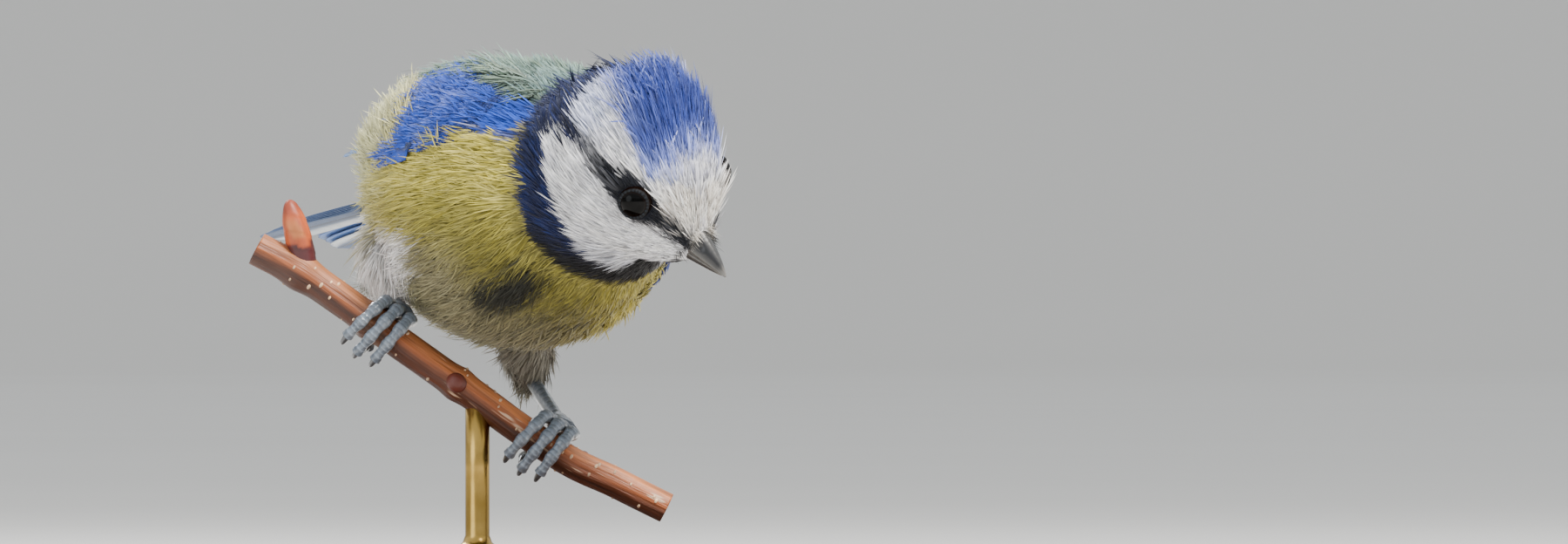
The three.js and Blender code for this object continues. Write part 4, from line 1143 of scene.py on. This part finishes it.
def bark_material():
    n = Nodes("bark").set(Roughness=0.5, Coat_Weight=0.08, Coat_Roughness=0.4)
    tint, grain = n.attribute("tint"), n.attribute("grain", "Vector")
    streak = n.noise(1.0, 5, (0.9, 7, 1), grain)
    fleck = n.noise(1.0, 2, (1.5, 4.5, 1), grain)
    shade = n.ramp(streak, [(0.30, (0.45, 0.38, 0.34)), (0.50, (1.0, 1.0, 1.0)), (0.72, (1.6, 1.55, 1.45))])
    spots = n.ramp(fleck, [(0.68, (0, 0, 0)), (0.73, (1, 1, 1))])
    n.colour(n.mix(n.mix(tint, shade, 1.0, "MULTIPLY"), hexed("#c9a88a"), spots))
    n.bump(n.mix(streak, fleck, 0.35), 0.9, 0.0006)
    return n.mat


BARK = bark_material()
TWIG_STEPS = 400
twig_line = curve_points(TWIG_BENDS, TWIG_STEPS)
twig_way = unit(np.gradient(twig_line, axis=0))
# Swellings of the twig: share of its length, height, and width as a share of its length.
SWELLS = ((0.28, 0.32, 0.022), (0.5, 0.22, 0.02), (0.1, 0.35, 0.03))


def twig_at(u):
    """The twig's middle line and its direction at a share of its length."""
    k = np.clip(u, 0, 1) * (TWIG_STEPS - 1)
    i = min(int(k), TWIG_STEPS - 2)
    return between(twig_line[i:i + 2], k - i), twig_way[i]


def twig_share(x):
    """How far along the twig the place with this x is."""
    return np.interp(x, twig_line[:, 0], np.linspace(0, 1, TWIG_STEPS))


def twig_size(u):
    swell = sum(high * np.exp(-(((u - at) / wide) ** 2)) for at, high, wide in SWELLS)
    return between(TWIG_R, u) + swell


def twig_body():
    """The twig with its cut ends: body, colours, and each point's place in the grain of the bark."""
    count, sides = 260, 48
    rough_at = lambda u: np.exp(-(((u - 0.285) / 0.03) ** 2))

    def shape(at, ang):
        fine = 1 + 0.012 * np.sin(3 * ang + at * 9) + 0.010 * np.sin(7 * ang + 40 * at)
        return fine + 0.35 * rough_at(at) * 0.09 * np.sin(9 * ang + 220 * at)

    def shrink(ring, share):
        return ring.mean(0) + (ring - ring.mean(0)) * share

    rings = tube(TWIG_BENDS, count, sides, lambda u: (twig_size(u), twig_size(u)), (0, 1, 0), shape)
    rings = np.concatenate([[shrink(rings[0], share) for share in (0.2, 0.88)], rings,
                            [shrink(rings[-1], share) for share in (0.88, 0.2)]])
    v, q, t = capped(rings)
    # Painted shade darkens the bark's underside and a painted highlight lightens its top.
    above = v[:, 2] - np.interp(v[:, 0], twig_line[:, 0], twig_line[:, 2])
    base = blend("#8e4c24", "#4e2613", smooth(0.3, -0.8, above))
    base = blend(base, "#b8774a", 0.5 * smooth(0.2, 1.6, above))
    u = twig_share(v[:, 0])
    base = blend(base, "#7a5238", 0.8 * rough_at(u))
    wood, pith = hexed("#cdb488"), hexed("#8a6b45")
    base[:sides] = base[-2 - sides:-2] = pith
    base[sides:2 * sides] = base[-2 - 2 * sides:-2 - sides] = wood
    base[-2:] = pith
    angle = np.tile(circle(sides), len(rings))
    across, over = (np.append(values, [0, 0]) * 0.5 for values in (np.sin(angle), np.cos(angle)))
    return (v, q, t), base, np.stack([u * 5.6, across, over], -1)


body, tint, grain = twig_body()
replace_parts(mesh_piece("twig", body, BARK, tint, None, grain), "perch")


def lenticels(count):
    """Small pale corky bumps scattered along the bark, each longer round the twig than along it."""
    dome = np.array([(1.0, -0.25), (0.85, 0.3), (0.45, 0.75), (0.12, 0.9)])
    around = circle(10)
    bodies, tints = [], []
    for _ in range(count):
        u, angle = 0.02 + 0.96 * rng.random(), 2 * math.pi * rng.random()
        r = 0.14 + 0.14 * rng.random()
        at, along = twig_at(u)
        side = unit(np.cross(along, (0, 1, 0)))
        out = side * math.sin(angle) + np.cross(side, along) * math.cos(angle)
        across = np.cross(along, out)
        centre = at + out * twig_size(u)
        ring = 0.8 * np.cos(around)[:, None] * along + 1.3 * np.sin(around)[:, None] * across
        rings = [centre + r * wide * ring + out * 0.6 * r * high for wide, high in dome]
        bodies.append(capped(np.array(rings)))
        tints.append(np.tile(hexed("#d9b795") * (0.7 + 0.4 * rng.random()), (len(bodies[-1][0]), 1)))
    body = join_bodies(bodies)
    mesh_piece("twig_lenticels", body, BARK, np.vstack(tints), None, body[0] / 10)


lenticels(90)


def bud(name, u, way, length, r, tone):
    """A bud of overlapping scales; a long one has coloured scales with pale seams."""
    count, sides = 60, 30
    at, _ = twig_at(u)
    way = unit(way)
    reach = TWIG_R[0] - 0.8 + (length + 0.8) * np.array([0, 0.5, 1])
    size = lambda k: (r * (1 - k) ** 0.6 * (0.75 + k) + 0.12,) * 2

    def scales(k, ang):
        return 1 + 0.05 * np.cos(2 * ang + 3 * k) + 0.05 * (1 - ((k * 4 + ang / math.pi) % 1)) * (k > 0.1)

    v, q, t = capped(tube([at + way * d for d in reach], count, sides, size, None, scales))
    k = np.concatenate([np.repeat(np.linspace(0, 1, count), sides), [0, 1]])
    tint = np.tile(hexed(tone), (len(v), 1))
    if length > 4:
        seam = smooth(-0.2, 0.5, np.sin(3 * np.tile(circle(sides), count) + 5 * k[:-2]))
        seam = np.concatenate([seam, [0, 0]])
        tint = blend(tint, "#b4532a", smooth(0.34, 0.42, k + 0.08 * seam))
        tint = blend(tint, "#d08a4e", 0.6 * seam * smooth(0.4, 0.5, k) * smooth(0.8, 0.6, k))
        tint = blend(tint, "#8c3a22", smooth(0.72, 0.9, k))
    grain = np.stack([k * 0.5, v[:, 1] / 10, v[:, 0] / 10], -1)
    mesh_piece(name, (v, q, t), BARK, tint, None, grain)


bud("bud_front", 0.5, (-0.1, -1, 0.1), 0.9, 1.2, "#6b2f22")
bud("bud_side", 0.12, (-0.24, -0.1, 0.97), 7.2, 1.7, "#4a1a1e")
bud("bud_back", 0.8, (0.2, 0.9, 0.4), 1.1, 0.9, "#6b2f22")

# Legs, toes and claws.


def leg_material():
    n = Nodes("leg_skin").set(Roughness=0.3, Coat_Weight=0.7, Coat_Roughness=0.16)
    cells = n.add("ShaderNodeTexVoronoi", Scale=2600)
    n.link(n.add("ShaderNodeTexCoord").outputs["Object"], cells.inputs["Vector"])
    n.tinted(n.spread(n.noise(1500), (0.75, 0.75, 0.78), (1.25, 1.22, 1.2)))
    n.bump(cells.outputs["Distance"], 0.4, 0.00015)
    return n.mat


LEG = leg_material()
TARSUS_BANDS, TOE_BANDS = 14, 17
# Each digit grips the twig at angles round it, with its height over the bark; shift runs along the twig.
TOES = {
    2: dict(root=106, shift=(-1.62, -2.0), bend=((70, 1.0), (32, 1.02), (-4, 1.15), (-38, 1.8)),
            claw=((-47, 1.95), (-68, 2.2), (-90, 1.7))),
    3: dict(root=104, shift=(0, 0), bend=((70, 1.06), (32, 1.08), (-8, 1.25), (-50, 2.2)),
            claw=((-57, 2.3), (-77, 2.5), (-98, 1.9))),
    4: dict(root=106, shift=(1.62, 2.1), bend=((70, 1.0), (32, 1.02), (-6, 1.15), (-44, 1.8)),
            claw=((-52, 1.95), (-73, 2.2), (-95, 1.7))),
    1: dict(root=152, shift=(0.1, 0.5), bend=((176, 1.08), (200, 1.05), (226, 1.03)),
            claw=((236, 1.0), (262, 1.25), (288, 0.95)))}


def scute_rings(per, depth):
    """Overlapping bands on the upper side, a plain pebbled sole."""
    def shape(u, ang):
        saw = (u * per) % 1
        band = depth * (1 - saw) * smooth(-0.2, 0.5, np.sin(ang))
        return 1 + band + 0.02 * np.sin(ang * 9 + u * 90)
    return shape


def leg_tint(rings, sole, per):
    v = rings.reshape(-1, 3)
    sides = rings.shape[1]
    up = np.tile(np.sin(circle(sides)), len(rings))
    tint = blend("#8a9096", "#6c7783", smooth(-0.3, 0.8, up))
    tint = blend(tint, "#9a9a92", sole * smooth(-0.2, -0.8, up))
    # Painted highlights: on the upper side each scute brightens from 0.72 of its colour at its start to about
    # 1.5 at its end, for the gloss on the scales; the sole stays at 0.72.
    band = (np.repeat(np.linspace(0, 1, len(rings)), sides) * per) % 1
    tint = tint * (0.72 + 0.75 * band ** 2 * smooth(-0.3, 0.3, up))[:, None]
    return np.vstack([tint, tint[:1], tint[-1:]]).clip(0, 1)


def make_leg(name, spec):
    """One shank with its four toes and claws round the twig."""
    at, along = twig_at(spec["u"])
    near = np.array([0, -1.0, 0])
    up = unit(np.cross(near, along))

    def grip(degrees, off, shift):
        r = TWIG_R[0] + off
        return at + along * shift + near * r * math.cos(degrees * DEG) + up * r * math.sin(degrees * DEG)

    heel, palm = np.array(spec["heel"]), grip(122, 1.25, spec["palm"])
    shank = palm - heel

    def size(k):
        foot = np.where(k > 0.82, 1.15 * np.sin((np.clip(k - 0.82, 0, 1) / 0.18) * math.pi * 0.62), 0)
        knob = 0.35 * np.exp(-((k / 0.1) ** 2))
        return 0.72 + knob + foot, 0.85 + knob + foot * 0.25

    line = [heel - shank * 0.1, heel + shank * 0.5, palm]
    rings = tube(line, 150, 24, size, along, scute_rings(TARSUS_BANDS, 0.09))
    tint = leg_tint(rings, 0.2, TARSUS_BANDS)
    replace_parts(mesh_piece(f"tarsus_{name}_skin", capped(rings), LEG, tint), f"tarsus_{name}")
    for digit, toe in TOES.items():
        shift = lambda k: spec["hand"] * between(toe["shift"], k) + spec["lean"] * max(0, k) * 1.5
        path = [grip(toe["root"] + 8, 0.95, shift(0) * 0.7 + spec["palm"] * 0.7),
                grip(toe["root"], 1.0, shift(0) * 0.9 + spec["palm"] * 0.6)]
        joints = len(toe["bend"])
        path += [grip(angle, off, shift((i + 1) / joints)) for i, (angle, off) in enumerate(toe["bend"])]
        nail, nail_off = toe["claw"][0]
        path.append(grip(nail, nail_off, shift(1.03)))

        def toe_size(k):
            knuckle = 0.08 * np.cos(k * joints * 2 * math.pi)
            r = 0.80 - 0.20 * k + knuckle
            return r, r * 0.95

        rings = tube(path, 120, 20, toe_size, along, scute_rings(TOE_BANDS, 0.10))
        tint = leg_tint(rings, 0.8, TOE_BANDS)
        toe_piece = mesh_piece(f"toe_{name}_{digit}_skin", capped(rings), LEG, tint)
        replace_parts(toe_piece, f"toe_{name}_{digit}")
        claw = [grip(nail + 6, nail_off, shift(1.0))] + [grip(a, o, shift(1.05)) for a, o in toe["claw"]]
        count, sides = 40, 16
        narrow = lambda k: 1 - 0.9 * k ** 1.3
        body = capped(tube(claw, count, sides, lambda k: (0.46 * narrow(k), 0.5 * narrow(k)), along))
        k = np.concatenate([np.repeat(np.linspace(0, 1, count), sides), [0, 1]])
        tint = blend("#4a4c50", "#1d1c1f", smooth(0.1, 0.9, k))
        claw_piece = mesh_piece(f"claw_{name}_{digit}_horn", body, CLAW, tint)
        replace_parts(claw_piece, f"claw_{name}_{digit}")


for name, spec in LEGS.items():
    make_leg(name, spec)

# The display stand.


def lathe(name, profile, sides, at, slot, material, *nodes):
    """A turned body; the profile's rows are radius and height."""
    r, z = np.array(profile, float).T[:, :, None]
    angle = circle(sides)
    rings = np.stack([r * np.cos(angle), r * np.sin(angle), np.broadcast_to(z, (len(z), sides))], -1)
    piece = mesh_piece(name, capped(rings + at), material)
    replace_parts(piece, *nodes)


def wood_material():
    n = Nodes("stand_wood").set(Roughness=0.32, Coat_Weight=0.3, Coat_Roughness=0.25)
    rings = n.noise(60, 6, (1, 9, 1))
    fine = n.noise(500, 4, (1, 14, 1))
    colour = n.ramp(rings, [(0.35, hexed("#2b1a10")), (0.5, hexed("#4a2e1c")), (0.65, hexed("#5e3c25"))])
    n.colour(n.mix(colour, n.ramp(fine, [(0.35, (0.75,) * 3), (0.65, (1.1,) * 3)]), 1.0, "MULTIPLY"))
    n.bump(fine, 0.15, 0.0003)
    return n.mat


def brass_material():
    n = Nodes("stand_brass").set(Metallic=1.0, Roughness=0.26)
    n.colour(n.spread(n.noise(300, 3), hexed("#a8863f"), hexed("#c9a65c")))
    n.bump(n.noise(2500, 2, (1, 1, 0.08)), 0.08, 0.0001)
    return n.mat


BASE_R, BASE_H, TOP_ROUND, FOOT_ROUND = 38, 8, 1.2, 0.6
edge = [(BASE_R - TOP_ROUND + TOP_ROUND * math.sin(a), BASE_H - TOP_ROUND + TOP_ROUND * math.cos(a))
        for a in np.linspace(math.pi / 2, 0, 9)]
foot = [(BASE_R - FOOT_ROUND + FOOT_ROUND * math.cos(a), FOOT_ROUND - FOOT_ROUND * math.sin(a))
        for a in np.linspace(math.pi / 2, 0, 6)]
top = [(r, BASE_H) for r in (36, 30, 15, 0.5)]
lathe("base", [(0.5, 0), (20, 0), *foot, (BASE_R, 3), *edge, *top], 160, (0, 0, 0),
      "stand_wood", wood_material(), "stand_base")

ROD_X, ROD_Z, ROD_R = -1.2, 8.3, 1.4
collar = [(0.2, 0), (2.8, 0), (3.0, 0.2), (3.0, 0.6), (2.8, 0.8), (2.2, 1.0), (1.7, 1.4)]
at, _ = twig_at(float(twig_share(ROD_X)))
shaft = [(ROD_R, 2.2), (ROD_R, 10), (ROD_R, at[2] - 1.2 - ROD_Z), (0.4, at[2] - 0.9 - ROD_Z)]
lathe("rod", collar + shaft, 48, (ROD_X, 0, ROD_Z), "stand_brass", brass_material(), "stand_rod")

# Floor, light and camera.


def plain(name, colour, rough=0.9):
    n = Nodes(name).set(Roughness=rough)
    n.colour(n.spread(n.noise(3, 2), hexed(colour) * 0.98, hexed(colour)))
    return n.mat


def stage_floor():
    """A pale floor with the stand in its middle, which sweeps up far off into a wall on every side."""
    flat, arc, wall = 7.0, 2.0, 3.0
    path = [(0.3, 0.0), (1.0, 0.0), (3.0, 0.0), (flat, 0.0)]
    path += [(flat + arc * math.sin(a), arc * (1 - math.cos(a))) for a in np.linspace(0.08, math.pi / 2, 14)]
    path.append((flat + arc, wall))
    sides = 64
    verts = [(r * math.cos(a), r * math.sin(a), z) for r, z in path for a in circle(sides)]
    verts.append((0, 0, 0))
    faces = ring_faces(len(path), sides).tolist()
    faces += [(len(verts) - 1, (k + 1) % sides, k) for k in range(sides)]
    m = bpy.data.meshes.new("floor")
    m.from_pydata(verts, [], faces)
    m.polygons.foreach_set("use_smooth", [True] * len(faces))
    m.materials.append(plain("floor_paper", "#d8d6d2"))
    o = bpy.data.objects.new("floor", m)
    bpy.context.scene.collection.objects.link(o)


stage_floor()
world = bpy.data.worlds.new("studio")
bpy.context.scene.world = world
world.use_nodes = True
sky = world.node_tree.nodes["Background"].inputs
sky["Color"].default_value = (0.92, 0.96, 1.0, 1)
sky["Strength"].default_value = 1.0


AIM = (0.005, 0.0, 0.045)


def soft_light(name, at, size, watts, colour):
    """A round lamp at a place in metres, turned to the bird."""
    data = bpy.data.lights.new(name, "AREA")
    data.shape = "DISK"
    data.size = size
    data.energy = watts
    data.color = colour
    lamp = bpy.data.objects.new(name, data)
    lamp.location = at
    lamp.rotation_euler = (Vector(AIM) - Vector(at)).to_track_quat("-Z", "Y").to_euler()
    bpy.context.scene.collection.objects.link(lamp)


soft_light("key", (0.42, -0.45, 0.85), 0.26, 22.0, (1.0, 0.96, 0.9))
soft_light("fill", (-0.8, -0.8, 0.35), 0.8, 3.5, (0.9, 0.95, 1.0))
soft_light("rim", (-0.35, 0.6, 0.6), 0.35, 6.0, (0.95, 0.97, 1.0))

# The camera looks level from the viewer's side, far off, and frames as much as the photo does.
SENSOR, AWAY, FRAMED = 36, 2600, 180
camera_data = bpy.data.cameras.new("camera")
camera_data.sensor_width = SENSOR
camera_data.lens = SENSOR * AWAY / FRAMED
camera_data.clip_end = 40
camera_data.clip_start = 0.05
camera = bpy.data.objects.new("camera", camera_data)
camera.location = (0.034, -AWAY * MM, 0.0407)
camera.rotation_euler = (math.pi / 2, 0, 0)
bpy.context.scene.collection.objects.link(camera)
bpy.context.scene.camera = camera
